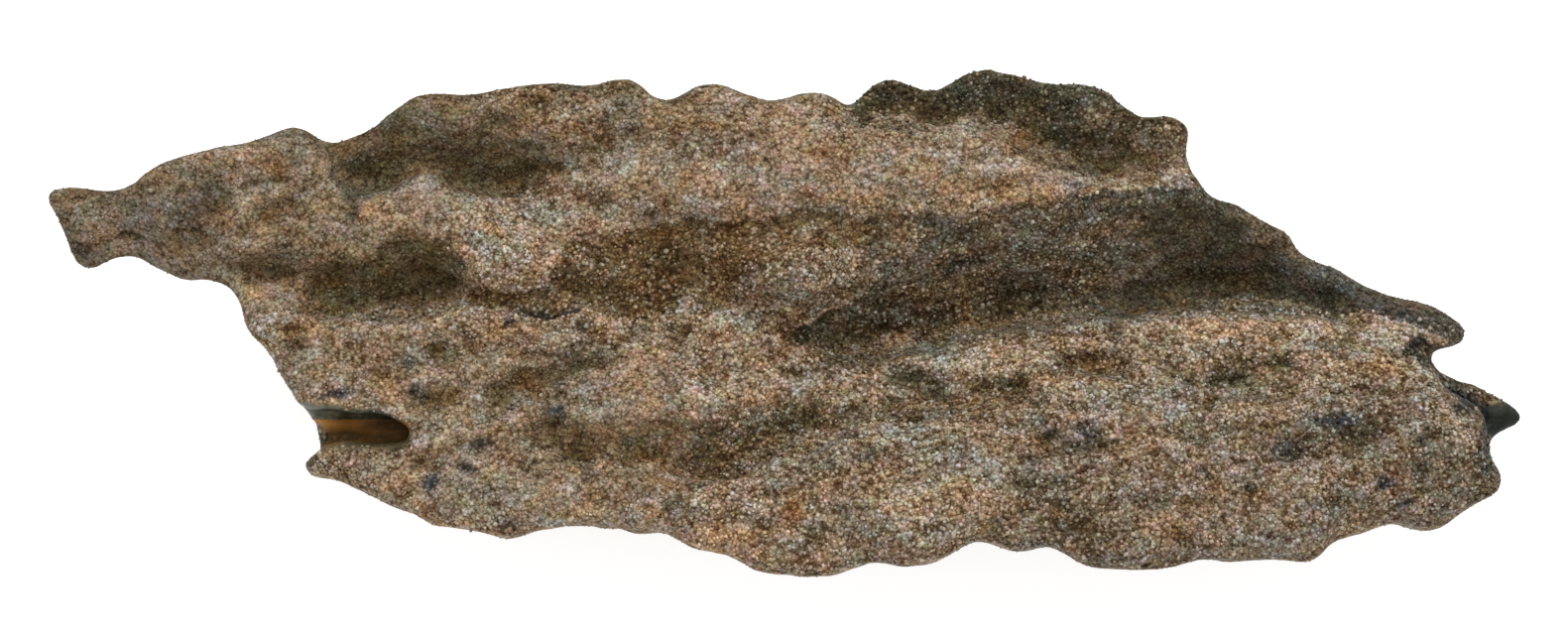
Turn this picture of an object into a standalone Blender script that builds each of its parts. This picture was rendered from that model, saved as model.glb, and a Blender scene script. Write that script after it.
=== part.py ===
"""A fulgurite: sand that lightning fused into a flattened tube, with a wavy wing along one side.

The piece lies on its back. X runs along the tube, Y runs across it from the belly to the wing, and Z is up.
The tables and functions below work in millimetres, and the meshes are written in metres.
"""

import bmesh
import bpy
import numpy as np
from mathutils import Vector, noise

MM = 0.001

# ---- driving dimensions, in millimetres ----
SLAB_HEIGHT = 4.0  # of the flat blank that the form is raised from
BLANK_GRID = 0.5  # spacing of the blank's points
FORM_GRID = 0.42  # spacing of the raised form's points
FACE_BUDGET = 9400  # triangles in the finished piece

RIM_HEIGHT = 2.0  # of the blunt edge, where front and back meet
FRONT_ROUNDING = 1.3  # width of the front's rounding inside the edge
BACK_SLOPE = 6.0  # width of the back's slope inside the edge, which leaves a fin along both sides
BACK_SLOPE_POWER = 1.5
LEAST_THICKNESS = 1.2

BORE_RADIUS = 1.9
BORE_FLATTENING = 0.8  # height of the bore over its width
CONTACT_DEPTH = 0.3  # worn off the lowest lumps, so that they bear flat on the ground

# ---- the edge's height, as a share of the way from the back to the front: x, share ----
RIM_LEVEL = ((-45.0, 0.6), (-34.0, 0.6), (-24.0, 0.72), (31.0, 0.72), (38.0, 0.4), (45.0, 0.3))

# ---- the outline, seen from above, clockwise: x, y ----
TAIL_AND_SHOULDER = (
    (-44.9, 7.6), (-44.3, 8.2), (-42.0, 8.2), (-40.5, 8.0), (-39.4, 8.4), (-37.6, 9.7),
    (-35.4, 10.4), (-32.8, 10.8), (-30.5, 11.5), (-29.4, 12.0), (-28.4, 11.3), (-27.7, 10.7),
    (-26.1, 11.2), (-25.2, 11.5), (-24.4, 12.2), (-23.3, 12.9), (-22.3, 13.7), (-20.3, 13.9),
)
WING_EDGE = (
    (-19.2, 13.7), (-16.8, 14.2), (-13.8, 14.5), (-11.2, 14.3), (-10.2, 14.7), (-9.3, 14.8),
    (-8.6, 14.3), (-8.1, 13.6), (-7.2, 13.3), (-6.2, 13.5), (-5.6, 14.2), (-4.8, 14.5),
    (-3.4, 14.3), (-2.2, 13.7), (-0.6, 13.3), (0.6, 13.7), (1.6, 13.9), (2.9, 13.8),
    (3.4, 12.8), (4.0, 12.6), (4.6, 13.7), (5.4, 14.4), (6.7, 14.8), (7.8, 14.3),
    (8.9, 13.9), (9.9, 14.3), (10.8, 15.1), (12.8, 15.2), (14.6, 14.9), (15.6, 14.4),
    (18.1, 14.5), (19.6, 14.0), (20.2, 13.3), (21.8, 12.3), (22.8, 12.6), (24.5, 11.8),
)
BROKEN_WING = (
    (24.3, 10.0), (25.0, 8.6), (25.7, 7.5), (27.2, 7.3), (28.8, 6.2), (30.4, 5.5),
    (31.3, 4.2), (32.4, 3.6), (33.6, 3.4), (34.8, 2.4), (37.0, 1.6), (38.9, 1.2),
    (40.4, 0.4), (41.6, -0.8), (40.9, -1.6), (39.5, -1.4),
)
BROKEN_END = (
    (38.0, -1.2), (38.9, -2.1), (40.2, -3.1), (42.3, -3.7), (43.6, -4.5), (45.2, -6.0),
    (44.0, -6.6), (42.9, -7.0), (42.7, -8.2), (43.7, -9.6), (42.9, -10.5), (41.6, -11.0),
    (40.3, -12.1), (39.2, -12.7),
)
BELLY_EDGE = (
    (37.6, -12.4), (36.6, -12.0), (35.1, -12.7), (32.9, -13.1), (32.2, -13.9), (31.6, -14.6),
    (30.7, -14.3), (28.5, -14.2), (26.8, -14.4), (25.0, -14.1), (23.4, -14.7), (20.4, -14.8),
    (17.9, -14.6), (16.8, -13.8), (15.7, -13.3), (14.2, -13.9), (12.6, -13.3), (11.5, -13.0),
    (10.1, -13.8), (8.9, -14.4), (7.2, -14.6), (5.4, -14.3), (4.0, -14.9), (2.2, -15.3),
    (0.2, -15.1), (-1.7, -15.0), (-2.9, -14.1), (-5.1, -13.7), (-6.4, -13.1), (-7.4, -12.4),
    (-8.2, -12.8), (-10.2, -12.3), (-12.6, -12.2), (-15.3, -12.6), (-16.5, -13.1), (-17.6, -12.8),
)
BROKEN_BELLY = (
    (-19.5, -12.4), (-21.0, -12.3), (-22.4, -11.4), (-24.0, -11.0), (-25.4, -10.2), (-26.8, -9.5),
    (-28.6, -9.4), (-29.4, -8.5), (-28.5, -7.7), (-28.3, -6.8), (-29.1, -5.4), (-30.4, -3.3),
    (-31.2, -1.5), (-32.3, -0.8), (-32.8, 0.6), (-33.1, 1.8), (-34.0, 2.5), (-36.4, 2.6),
    (-38.2, 3.4), (-40.0, 4.1), (-41.2, 3.6), (-42.2, 3.1), (-43.1, 3.7), (-43.7, 5.5),
    (-44.2, 6.7),
)
OUTLINE = TAIL_AND_SHOULDER + WING_EDGE + BROKEN_WING + BROKEN_END + BELLY_EDGE + BROKEN_BELLY

# ---- the front without its furrows: x, the belly's crest (y, height) and the wing's foot (y, height) ----
FRONT = (
    (-44.6, 3.5, 8.6, 7.5, 9.0),
    (-38.0, 3.0, 10.2, 7.5, 11.2),
    (-33.0, -1.0, 11.2, 6.0, 12.6),
    (-28.0, -7.0, 12.4, 3.0, 12.8),
    (-20.0, -9.0, 14.4, 1.0, 12.6),
    (-10.0, -10.0, 15.4, 0.0, 13.2),
    (0.0, -10.0, 16.6, -1.0, 13.6),
    (10.0, -9.5, 17.6, 0.0, 12.8),
    (20.0, -8.5, 17.8, 1.0, 12.0),
    (30.0, -8.5, 16.6, 1.0, 11.6),
    (38.0, -8.0, 14.6, 0.0, 11.0),
    (44.6, -7.0, 12.6, -1.0, 10.4),
)
BELLY_FALL = 0.02  # per mm squared, from the belly's crest towards its edge

# ---- furrows: x, y of the crease, depth, width of the slope above it, width of the wall below it ----
MAIN_FURROW = (
    (-36.0, 4.4, 0.0, 2.0, 1.5),
    (-31.8, 3.2, 1.4, 2.4, 1.5),
    (-28.6, 1.0, 3.0, 3.6, 1.4),
    (-25.2, 0.9, 4.4, 4.0, 1.2),
    (-22.2, 1.1, 4.6, 4.2, 1.1),
    (-19.8, 1.5, 3.6, 3.6, 1.0),
    (-18.0, 1.2, 1.6, 1.6, 0.9),
    (-14.7, 1.2, 1.5, 1.4, 0.9),
    (-12.0, 1.5, 2.4, 3.4, 1.0),
    (-7.8, 1.2, 2.6, 4.8, 1.3),
    (-4.2, 1.4, 2.2, 4.0, 1.3),
    (-1.2, 0.6, 1.6, 2.4, 1.2),
    (1.8, -1.4, 3.4, 2.6, 1.1),
    (4.2, -1.6, 4.4, 4.4, 1.1),
    (6.6, -1.2, 4.8, 6.6, 1.1),
    (11.4, -0.2, 5.2, 7.2, 1.3),
    (15.0, 0.6, 5.6, 7.2, 1.4),
    (19.2, 0.8, 5.8, 7.4, 1.4),
    (24.6, 1.5, 5.8, 7.6, 1.4),
    (28.2, 1.7, 5.4, 7.0, 1.4),
    (31.2, 1.2, 4.4, 6.0, 1.3),
    (35.0, 0.5, 2.8, 4.4, 1.2),
    (38.4, 0.2, 1.2, 2.4, 1.0),
    (41.0, 0.0, 0.4, 1.4, 0.8),
)
WING_HOLLOW_LEFT = (
    (-27.5, 8.2, 0.0, 3.0, 1.0),
    (-26.8, 8.0, 2.8, 4.0, 1.0),
    (-23.4, 8.5, 3.2, 4.4, 1.0),
    (-21.6, 9.3, 2.6, 4.0, 1.0),
    (-19.4, 8.3, 3.2, 4.4, 0.9),
    (-16.5, 8.0, 3.0, 4.6, 0.9),
    (-14.4, 8.8, 1.8, 3.6, 0.9),
    (-12.4, 9.4, 1.2, 2.6, 0.9),
    (-10.4, 10.0, 0.0, 2.6, 1.0),
)
WING_HOLLOW_RIGHT = (
    (3.6, 11.8, 0.0, 2.0, 0.6),
    (4.6, 11.8, 2.0, 3.0, 0.6),
    (6.0, 12.4, 2.6, 3.4, 0.7),
    (9.3, 12.1, 2.6, 3.6, 0.8),
    (12.6, 12.1, 3.2, 4.6, 0.9),
    (15.3, 10.5, 3.4, 5.4, 0.9),
    (18.6, 9.4, 3.2, 5.6, 0.8),
    (21.0, 8.8, 2.6, 5.0, 0.7),
    (23.0, 9.0, 1.4, 3.0, 0.7),
    (26.0, 9.2, 0.8, 2.0, 0.7),
)
BELLY_FURROW = (
    (-20.0, -7.2, 0.0, 1.6, 1.0),
    (-17.4, -7.8, 1.2, 2.0, 0.9),
    (-13.8, -7.8, 1.5, 2.4, 0.9),
    (-9.0, -8.4, 2.2, 3.0, 0.9),
    (-5.4, -9.1, 3.0, 3.8, 1.0),
    (-2.4, -8.6, 2.6, 3.6, 1.0),
    (0.6, -6.9, 2.1, 2.4, 1.0),
    (4.8, -6.4, 1.5, 2.0, 1.0),
    (7.4, -4.9, 0.0, 1.4, 0.9),
)
LIP_UNDERCUT = (
    (-12.4, 5.8, 0.0, 0.6, 1.6),
    (-6.0, 6.0, 0.9, 0.5, 1.8),
    (-0.6, 6.2, 1.2, 0.5, 2.0),
    (4.2, 6.4, 1.0, 0.5, 2.2),
    (9.0, 6.2, 0.0, 0.6, 2.0),
)
FURROWS = (MAIN_FURROW, WING_HOLLOW_LEFT, WING_HOLLOW_RIGHT, BELLY_FURROW, LIP_UNDERCUT)
SLOPE_POWER = 1.2  # 1 is a straight slope into the crease, and more is a hollow one

# ---- short folds of the front: x, y of both ends, depth, width of the slope above and of the wall below ----
SHORT_FOLDS = (
    (-33.4, 2.9, -29.2, 2.4, 1.0, 2.0, 1.0),
    (-21.8, -2.3, -19.0, -2.4, 1.1, 1.3, 0.7),
    (-23.6, -4.9, -20.2, -5.0, 1.3, 1.5, 0.8),
    (-18.8, -5.4, -16.0, -5.3, 1.4, 2.0, 0.8),
    (-17.6, -3.8, -10.6, -2.8, 1.6, 1.9, 0.9),
    (-10.8, -0.6, -4.6, -0.7, 1.9, 2.3, 0.9),
    (-5.6, -2.8, -1.0, -2.8, 1.1, 1.5, 0.8),
    (5.6, -4.9, 9.8, -5.0, 2.4, 2.8, 0.9),
    (8.4, -4.7, 13.4, -4.6, 1.3, 1.5, 0.7),
    (11.4, -4.4, 15.6, -4.5, 1.3, 1.8, 0.7),
    (15.8, -2.8, 21.7, -2.8, 1.5, 1.5, 0.7),
    (22.1, -4.4, 31.6, -4.3, 2.1, 2.7, 1.0),
    (14.3, -7.2, 17.8, -7.3, 1.6, 1.9, 0.8),
    (17.0, -7.4, 20.8, -7.4, 1.4, 1.4, 0.7),
    (21.2, -6.9, 28.0, -7.0, 1.1, 1.4, 0.8),
    (29.0, -7.9, 37.0, -7.9, 1.8, 2.5, 1.0),
    (35.5, -9.1, 42.8, -9.0, 1.1, 1.7, 0.9),
)

# ---- lumps of the front: x, y, half length, half width, height ----
FRONT_LUMPS = (
    (-15.9, 3.8, 3.6, 2.6, 1.6),
    (1.2, 3.2, 3.2, 2.4, 1.5),
    (-6.6, 1.9, 1.6, 1.0, 0.8),
    (-26.5, -8.6, 2.6, 1.4, 0.9),
)

# ---- the back: two keels that it rests on, and the heights that it rises to beyond them ----
BACK_HEIGHT = 3.6  # of the channel between the keels
BELLY_KEEL = (
    (-33.0, -4.0, 0.0, 3.5),
    (-24.0, -6.5, 3.7, 4.0),
    (-8.0, -8.6, 3.9, 4.6),
    (10.0, -7.6, 3.9, 4.8),
    (28.0, -8.2, 3.9, 4.6),
    (38.0, -7.0, 3.0, 4.4),
    (44.6, -6.0, 1.6, 4.0),
)
WING_KEEL = (
    (-36.0, 5.0, 0.0, 3.0),
    (-26.0, 3.2, 3.4, 3.4),
    (-10.0, 4.4, 3.8, 3.6),
    (8.0, 3.4, 3.8, 3.6),
    (20.0, 4.0, 3.6, 3.4),
    (30.0, 1.5, 2.0, 3.0),
    (38.0, 0.0, 0.0, 2.5),
)
WING_RISE = (6.5, 0.42)  # the wing's back rises from this y, by this much per mm
BELLY_RISE = (-11.0, 0.4)  # and the belly's, away from this y
END_RISE = ((-45.0, 3.4), (-34.0, 2.6), (-26.0, 0.0), (34.0, 0.0), (45.0, 2.2))
BACK_FOLDS = 34  # short folds scattered over the back
BACK_FOLD_X = (-34, 40)
BACK_FOLD_Y = (-13, 12)
BACK_FOLD_LEAN = (-0.12, 0.08)  # y over x, along the fold
BACK_FOLD_LENGTH = (5.0, 13.0)
BACK_FOLD_DEPTH = (0.5, 1.7)
BACK_FOLD_SLOPE = (1.2, 3.0)
BACK_FOLD_WALL = (0.6, 1.2)
BACK_SEED = 7

# ---- roughness of the whole: wavelength and height of each layer of lumps ----
FRONT_ROUGHNESS = ((7.5, 0.9), (3.6, 0.9), (1.9, 0.4))
BACK_ROUGHNESS = ((9.0, 1.4), (4.2, 1.2), (2.0, 0.4))
SKIN_ROUGHNESS = ((3.3, 0.4), (1.7, 0.22))  # along the surface's own normals, all round
FLUTES = (13.0, 2.6, 1.3)  # of the sides and back: length, distance apart and height
CALM_RIM = 0.9  # the rim keeps its outline this far in
CALM_GROUND = (0.2, 3.0)  # the keels are calm below the first height, and as rough as the rest by the second
FRONT_WANDER = (5.0, 0.3)  # wavelength and size of the bends in every furrow
BACK_WANDER = (11.0, 2.2)
FRONT_OFFSET = 0.5  # where in the noise each kind of unevenness is read
BACK_OFFSET = 5.5
WANDER_X_OFFSET = 3.7
WANDER_Y_OFFSET = 9.1

# ---- the broken end: the near wall stops at these y, x, and the far wall goes on below it as a tongue ----
NEAR_WALL_EDGE = ((-7.6, 45.5), (-6.9, 42.7), (-4.7, 41.1), (-2.6, 39.1), (-1.5, 38.2), (-1.2, 45.5))
TONGUE_TOP = 6.6

# ---- the bore: x, y, z of its middle line; and the slot where its upper wall is broken away ----
BORE = (
    (-34.0, -7.2, 9.6), (-28.0, -6.8, 9.4), (-20.0, -6.6, 9.0), (-8.0, -7.0, 8.6), (6.0, -7.2, 8.6),
    (20.0, -6.6, 8.8), (32.0, -6.0, 8.6), (40.0, -5.4, 8.2), (48.0, -5.2, 8.0),
)
SLOT = (
    (-32.0, -5.9), (-28.6, -5.3), (-27.0, -5.2), (-25.8, -5.5), (-24.4, -5.4), (-23.4, -5.9), (-22.6, -6.2),
    (-22.4, -7.0), (-23.6, -7.2), (-25.0, -7.3), (-26.4, -7.0), (-28.0, -7.4), (-32.0, -7.6),
)
SLOT_FLOOR = 8.4
SLOT_CUTTER_HEIGHT = 20.0

CRUST_COLOUR = (0.30, 0.215, 0.145, 1.0)


def clear_scene():
    for item in list(bpy.data.objects):
        bpy.data.objects.remove(item)


def new_collection(name):
    collection = bpy.data.collections.new(name)
    bpy.context.scene.collection.children.link(collection)
    return collection


def flat_curve(name, points, height, collection):
    """A closed smooth outline through points, filled and raised by height, half of it to each side."""
    curve = bpy.data.curves.new(name, "CURVE")
    curve.dimensions = "2D"
    curve.fill_mode = "BOTH"
    curve.extrude = height / 2 * MM
    curve.resolution_u = 3
    spline = curve.splines.new("BEZIER")
    spline.bezier_points.add(len(points) - 1)
    spline.use_cyclic_u = True
    for knot, (x, y) in zip(spline.bezier_points, points):
        knot.co = (x * MM, y * MM, 0)
        knot.handle_left_type = "AUTO"
        knot.handle_right_type = "AUTO"
    item = bpy.data.objects.new(name, curve)
    collection.objects.link(item)
    return item


def evaluated_mesh(item):
    """The item's mesh with its modifiers, and with the loose caps of a curve welded."""
    graph = bpy.context.evaluated_depsgraph_get()
    mesh = bpy.data.meshes.new_from_object(item.evaluated_get(graph), depsgraph=graph)
    made = bmesh.new()
    made.from_mesh(mesh)
    bmesh.ops.remove_doubles(made, verts=made.verts, dist=1e-6)
    bmesh.ops.recalc_face_normals(made, faces=made.faces)
    made.to_mesh(mesh)
    made.free()
    return mesh


def as_mesh(item, collection):
    """Replaces the item by a mesh object of its evaluated shape."""
    made = bpy.data.objects.new(item.name + "_mesh", evaluated_mesh(item))
    made.matrix_world = item.matrix_world
    collection.objects.link(made)
    bpy.data.objects.remove(item)
    return made


def bake_modifiers(item):
    mesh = evaluated_mesh(item)
    item.modifiers.clear()
    item.data = mesh


def regrid(item, spacing):
    """Rebuilds the item's surface, with its cuts, from even voxels of the given size."""
    remesh = item.modifiers.new("regrid", "REMESH")
    remesh.mode = "VOXEL"
    remesh.voxel_size = spacing * MM
    bake_modifiers(item)


def places(mesh):
    found = np.empty(len(mesh.vertices) * 3)
    mesh.vertices.foreach_get("co", found)
    return found.reshape(-1, 3) / MM


def move_to(mesh, points):
    mesh.vertices.foreach_set("co", (points * MM).ravel())
    mesh.update()


def bumps(x, y, layers, offset):
    """Smooth natural unevenness, the sum of layers of the given wavelengths and heights."""
    total = np.zeros(len(x))
    for wavelength, height in layers:
        total += height * np.array(
            [noise.noise(Vector((a / wavelength, b / wavelength, offset))) for a, b in zip(x, y)]
        )
    return total


def at(x, table, column):
    rows = np.array(table)
    return np.interp(x, rows[:, 0], rows[:, column])


def smooth_step(t):
    t = np.clip(t, 0, 1)
    return t * t * (3 - 2 * t)


def sawtooth(across, slope_width, wall_width):
    """1 at the crease, falling to 0 up a long slope (across above 0) and up a steep wall (across below 0)."""
    width = np.where(across > 0, slope_width, wall_width)
    return np.clip(1 - np.abs(across) / width, 0, 1) ** SLOPE_POWER


def furrow(x, y, stations):
    """How far a furrow cuts down."""
    across = y - at(x, stations, 1)
    return at(x, stations, 2) * sawtooth(across, at(x, stations, 3), at(x, stations, 4))


def short_fold(x, y, start_x, start_y, end_x, end_y, depth, slope_width, wall_width):
    """How far a short fold cuts down, which fades out at both its ends."""
    along = (x - start_x) / (end_x - start_x)
    across = y - (start_y + along * (end_y - start_y))
    fade = np.sqrt(np.sin(np.pi * np.clip(along, 0, 1)))
    return depth * fade * sawtooth(across, slope_width, wall_width)


def wandered(x, y, wander):
    """The same places, moved about a little, so that what is read there has natural bends."""
    return x + bumps(x, y, (wander,), WANDER_X_OFFSET), y + bumps(x, y, (wander,), WANDER_Y_OFFSET)


def mound(*offsets):
    """1 in the middle of a rounded mound, falling to near 0 at one unit from it."""
    return np.exp(-2 * sum(offset**2 for offset in offsets))


def front_height(x, y):
    belly_y, belly_z = at(x, FRONT, 1), at(x, FRONT, 2)
    wing_y, wing_z = at(x, FRONT, 3), at(x, FRONT, 4)
    height = belly_z + (wing_z - belly_z) * smooth_step((y - belly_y) / (wing_y - belly_y))
    height -= BELLY_FALL * np.clip(belly_y - y, 0, None) ** 2
    moved_x, moved_y = wandered(x, y, FRONT_WANDER)
    for stations in FURROWS:
        height -= furrow(moved_x, moved_y, stations)
    for fold in SHORT_FOLDS:
        height -= short_fold(moved_x, moved_y, *fold)
    for lump_x, lump_y, long, wide, high in FRONT_LUMPS:
        height += high * mound((moved_x - lump_x) / long, (moved_y - lump_y) / wide)
    return height + bumps(x, y, FRONT_ROUGHNESS, FRONT_OFFSET)


def back_folds():
    """Short folds scattered over the back, some with their steep side towards the belly."""
    draw = np.random.default_rng(BACK_SEED)
    folds = []
    for _ in range(BACK_FOLDS):
        middle_x, middle_y = draw.uniform(*BACK_FOLD_X), draw.uniform(*BACK_FOLD_Y)
        half = draw.uniform(*BACK_FOLD_LENGTH) / 2
        lean = draw.uniform(*BACK_FOLD_LEAN) * half
        widths = [draw.uniform(*BACK_FOLD_SLOPE), draw.uniform(*BACK_FOLD_WALL)]
        draw.shuffle(widths)
        ends = (middle_x - half, middle_y - lean, middle_x + half, middle_y + lean)
        folds.append((*ends, draw.uniform(*BACK_FOLD_DEPTH), *widths))
    return folds


def back_height(x, y):
    height = np.full(len(x), BACK_HEIGHT)
    moved_x, moved_y = wandered(x, y, BACK_WANDER)
    for stations in (BELLY_KEEL, WING_KEEL):
        away = (moved_y - at(moved_x, stations, 1)) / at(moved_x, stations, 3)
        height -= at(moved_x, stations, 2) * mound(away)
    height += WING_RISE[1] * np.clip(y - WING_RISE[0], 0, None)
    height += BELLY_RISE[1] * np.clip(BELLY_RISE[0] - y, 0, None)
    height += at(x, END_RISE, 1)
    for fold in back_folds():
        height += short_fold(moved_x, moved_y, *fold)
    return np.maximum(height + bumps(x, y, BACK_ROUGHNESS, BACK_OFFSET), 0)


def distance_to_outline(x, y):
    """How far each point is from the outline, measured to its straight runs."""
    start = np.array(OUTLINE)
    run = np.roll(start, -1, axis=0) - start
    nearest = np.full(len(x), np.inf)
    for (x0, y0), (run_x, run_y) in zip(start, run):
        along = ((x - x0) * run_x + (y - y0) * run_y) / (run_x**2 + run_y**2)
        along = np.clip(along, 0, 1)
        nearest = np.minimum(nearest, np.hypot(x - x0 - along * run_x, y - y0 - along * run_y))
    return nearest


def broken_end(x, y, front):
    """Takes the near wall off the tongue."""
    edge_y, edge_x = np.array(NEAR_WALL_EDGE).T
    beyond = (x > np.interp(y, edge_y, edge_x)) & (y > edge_y[0]) & (y < edge_y[-1])
    return np.where(beyond, np.minimum(front, TONGUE_TOP), front)


def raise_form(mesh):
    """Lifts the blank's upper face to the front and its lower face to the back, which meet in a blunt rim."""
    points = places(mesh)
    x, y = points[:, 0], points[:, 1]
    level = np.clip(points[:, 2] / SLAB_HEIGHT + 0.5, 0, 1)
    front, back = front_height(x, y), back_height(x, y)
    thick = np.maximum(front - back, RIM_HEIGHT)
    rim = back + at(x, RIM_LEVEL, 1) * thick
    inset = distance_to_outline(x, y)
    front_share = np.sqrt(1 - (1 - np.clip(inset / FRONT_ROUNDING, 0, 1)) ** 2)
    back_share = 1 - (1 - np.clip(inset / BACK_SLOPE, 0, 1)) ** BACK_SLOPE_POWER
    rim_top = np.minimum(rim + RIM_HEIGHT / 2, back + thick)
    rim_foot = np.maximum(rim - RIM_HEIGHT / 2, back)
    upper = broken_end(x, y, rim_top + front_share * (back + thick - rim_top))
    lower = np.minimum(rim_foot - back_share * (rim_foot - back), upper - LEAST_THICKNESS)
    points[:, 2] = lower + level * (upper - lower)
    move_to(mesh, points)


def roughen(mesh):
    """Moves the skin in and out, and flutes the sides and back lengthwise, but keeps the outline."""
    points = places(mesh)
    normals = np.empty(len(mesh.vertices) * 3)
    mesh.vertex_normals.foreach_get("vector", normals)
    normals = normals.reshape(-1, 3)
    moves = np.zeros(len(points))
    for wavelength, height in SKIN_ROUGHNESS:
        moves += height * np.array([noise.noise(Vector(place) / wavelength) for place in points])
    length, apart, height = FLUTES
    flutes = np.array([noise.noise(Vector((x / length, y / apart, z / apart))) for x, y, z in points])
    facing_out = smooth_step(0.5 - normals[:, 2])
    moves += height * flutes * facing_out
    moves *= smooth_step(distance_to_outline(points[:, 0], points[:, 1]) / CALM_RIM)
    low, high = CALM_GROUND
    moves *= smooth_step((points[:, 2] - low) / (high - low))
    move_to(mesh, points + normals * moves[:, None])


def bore_cutter(collection):
    """A tube along the bore's middle line, flattened a little, and open past both ends of the piece."""
    curve = bpy.data.curves.new("bore", "CURVE")
    curve.dimensions = "3D"
    curve.bevel_depth = BORE_RADIUS * MM
    curve.bevel_resolution = 3
    curve.resolution_u = 4
    curve.use_fill_caps = True
    spline = curve.splines.new("BEZIER")
    spline.bezier_points.add(len(BORE) - 1)
    for knot, place in zip(spline.bezier_points, BORE):
        knot.co = Vector(place) * MM
        knot.handle_left_type = "AUTO"
        knot.handle_right_type = "AUTO"
    item = bpy.data.objects.new("bore", curve)
    collection.objects.link(item)
    cutter = as_mesh(item, collection)
    points = places(cutter.data)
    middle = at(points[:, 0], BORE, 2)
    points[:, 2] = middle + (points[:, 2] - middle) * BORE_FLATTENING
    move_to(cutter.data, points)
    return cutter


def slot_cutter(collection):
    item = flat_curve("slot", SLOT, SLOT_CUTTER_HEIGHT, collection)
    item.location.z = (SLOT_FLOOR + SLOT_CUTTER_HEIGHT / 2) * MM
    bpy.context.view_layer.update()
    return as_mesh(item, collection)


def cut(item, cutter):
    cutter.hide_render = True
    cutter.display_type = "WIRE"
    boolean = item.modifiers.new("cut_" + cutter.name, "BOOLEAN")
    boolean.operation = "DIFFERENCE"
    boolean.solver = "EXACT"
    boolean.object = cutter


def thin_out(item, budget):
    """Merges the faces where the surface is flattest, down to the budget of triangles."""
    item.data.calc_loop_triangles()
    decimate = item.modifiers.new("thin_out", "DECIMATE")
    decimate.ratio = min(1.0, budget / len(item.data.loop_triangles))
    decimate.use_collapse_triangulate = True
    bake_modifiers(item)


def stand_on_ground(item):
    """Wears the lowest lumps flat, and puts the flats at Z 0 under the middle of the piece."""
    made = bmesh.new()
    made.from_mesh(item.data)
    lowest = min(v.co.z for v in made.verts)
    level = lowest + CONTACT_DEPTH * MM
    bmesh.ops.bisect_plane(
        made,
        geom=made.verts[:] + made.edges[:] + made.faces[:],
        plane_co=(0, 0, level),
        plane_no=(0, 0, -1),
        clear_outer=True,
    )
    bmesh.ops.holes_fill(made, edges=[e for e in made.edges if e.is_boundary])
    bmesh.ops.triangulate(made, faces=[f for f in made.faces if len(f.verts) > 3])
    spans = [[v.co[axis] for v in made.verts] for axis in (0, 1)]
    centre = [(min(span) + max(span)) / 2 for span in spans]
    bmesh.ops.translate(made, verts=made.verts, vec=(-centre[0], -centre[1], -level))
    made.to_mesh(item.data)
    made.free()


def crust_material():
    material = bpy.data.materials.new("sand_crust")
    material.use_nodes = True
    shader = material.node_tree.nodes["Principled BSDF"]
    shader.inputs["Base Color"].default_value = CRUST_COLOUR
    shader.inputs["Roughness"].default_value = 0.9
    shader.inputs["Metallic"].default_value = 0.0
    material.diffuse_color = CRUST_COLOUR
    return material


def build():
    clear_scene()
    parts = new_collection("fulgurite_parts")
    cutters = new_collection("cutters")
    piece = as_mesh(flat_curve("blank", OUTLINE, SLAB_HEIGHT, parts), parts)
    piece.name = "fulgurite"
    regrid(piece, BLANK_GRID)
    raise_form(piece.data)
    regrid(piece, FORM_GRID)
    roughen(piece.data)
    cut(piece, bore_cutter(cutters))
    cut(piece, slot_cutter(cutters))
    bake_modifiers(piece)
    regrid(piece, FORM_GRID)
    thin_out(piece, FACE_BUDGET)
    stand_on_ground(piece)
    piece.data.materials.append(crust_material())


build()
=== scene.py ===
"""The fulgurite's looks: its fused crust in fine relief, the sand grains set in it, its glass and the studio.

Lengths are in millimetres until a mesh is written, which is in metres.
"""

import bpy
import numpy as np
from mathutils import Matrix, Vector, noise


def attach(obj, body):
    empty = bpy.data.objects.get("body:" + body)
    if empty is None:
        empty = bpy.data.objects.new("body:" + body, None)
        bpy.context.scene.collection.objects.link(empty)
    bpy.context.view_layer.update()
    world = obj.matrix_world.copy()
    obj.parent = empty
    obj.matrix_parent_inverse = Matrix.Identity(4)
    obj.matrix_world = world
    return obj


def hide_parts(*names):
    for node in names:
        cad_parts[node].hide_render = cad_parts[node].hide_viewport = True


MM = 0.001
BODY = "root"
NODE = "fulgurite"
BAKE_MAP = "OFBake"
MAP_SIZE = (92.0, 33.0)  # what the crust's map covers of X and Y
TINY = 1e-6  # keeps a sum of weights from being zero

# A slope is the Z of a surface's normal: 1 faces straight up, 0 is upright and -1 faces straight down.
# A level is how flat a place lies, face up or face down: 1 is level and 0 upright.
# A pair of slopes, levels, depths or shares says where something starts and where it is whole.

# ---- the crust's relief ----
SKIN_GRID = 0.31  # spacing of the crust's points
CRUST_CORNERS = 4  # every face of the crust has four
SPREAD_SHARE = 0.6  # how far each point goes towards its neighbours' average in a round of averaging
FACET_STEPS = 5  # rounds of averaging that take off the solid's facets
LEVEL_STEPS = 6  # and those over which a place's level is taken
LUMPS = (  # rounded lumps with creases between them: wavelength along X, Y and Z, and height
    ((7.0, 2.1, 2.6), 0.50),
    ((2.8, 1.4, 1.5), 0.30),
)
LUMP_MIDDLE = 0.55  # what the lumps' noise is lowered by, to lie around zero
LUMPY_PATCHES = (14.0, 6.0, 6.0)  # wavelength of the patches that have lumps
PATCH_EDGE = (-0.5, 0.4)  # their noise where lumps start, and where they are whole
STAIN_AND_SHADE_CALM = 0.75  # share of the lumps that a full stain with its painted shade lacks
UNEVENNESS = (  # softer, and all over: wavelength and height
    ((1.6, 0.95, 1.0), 0.20),
    ((0.8, 0.62, 0.62), 0.13),
)
GLASS_CALM = 0.7  # share of all relief that glass lacks
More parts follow.
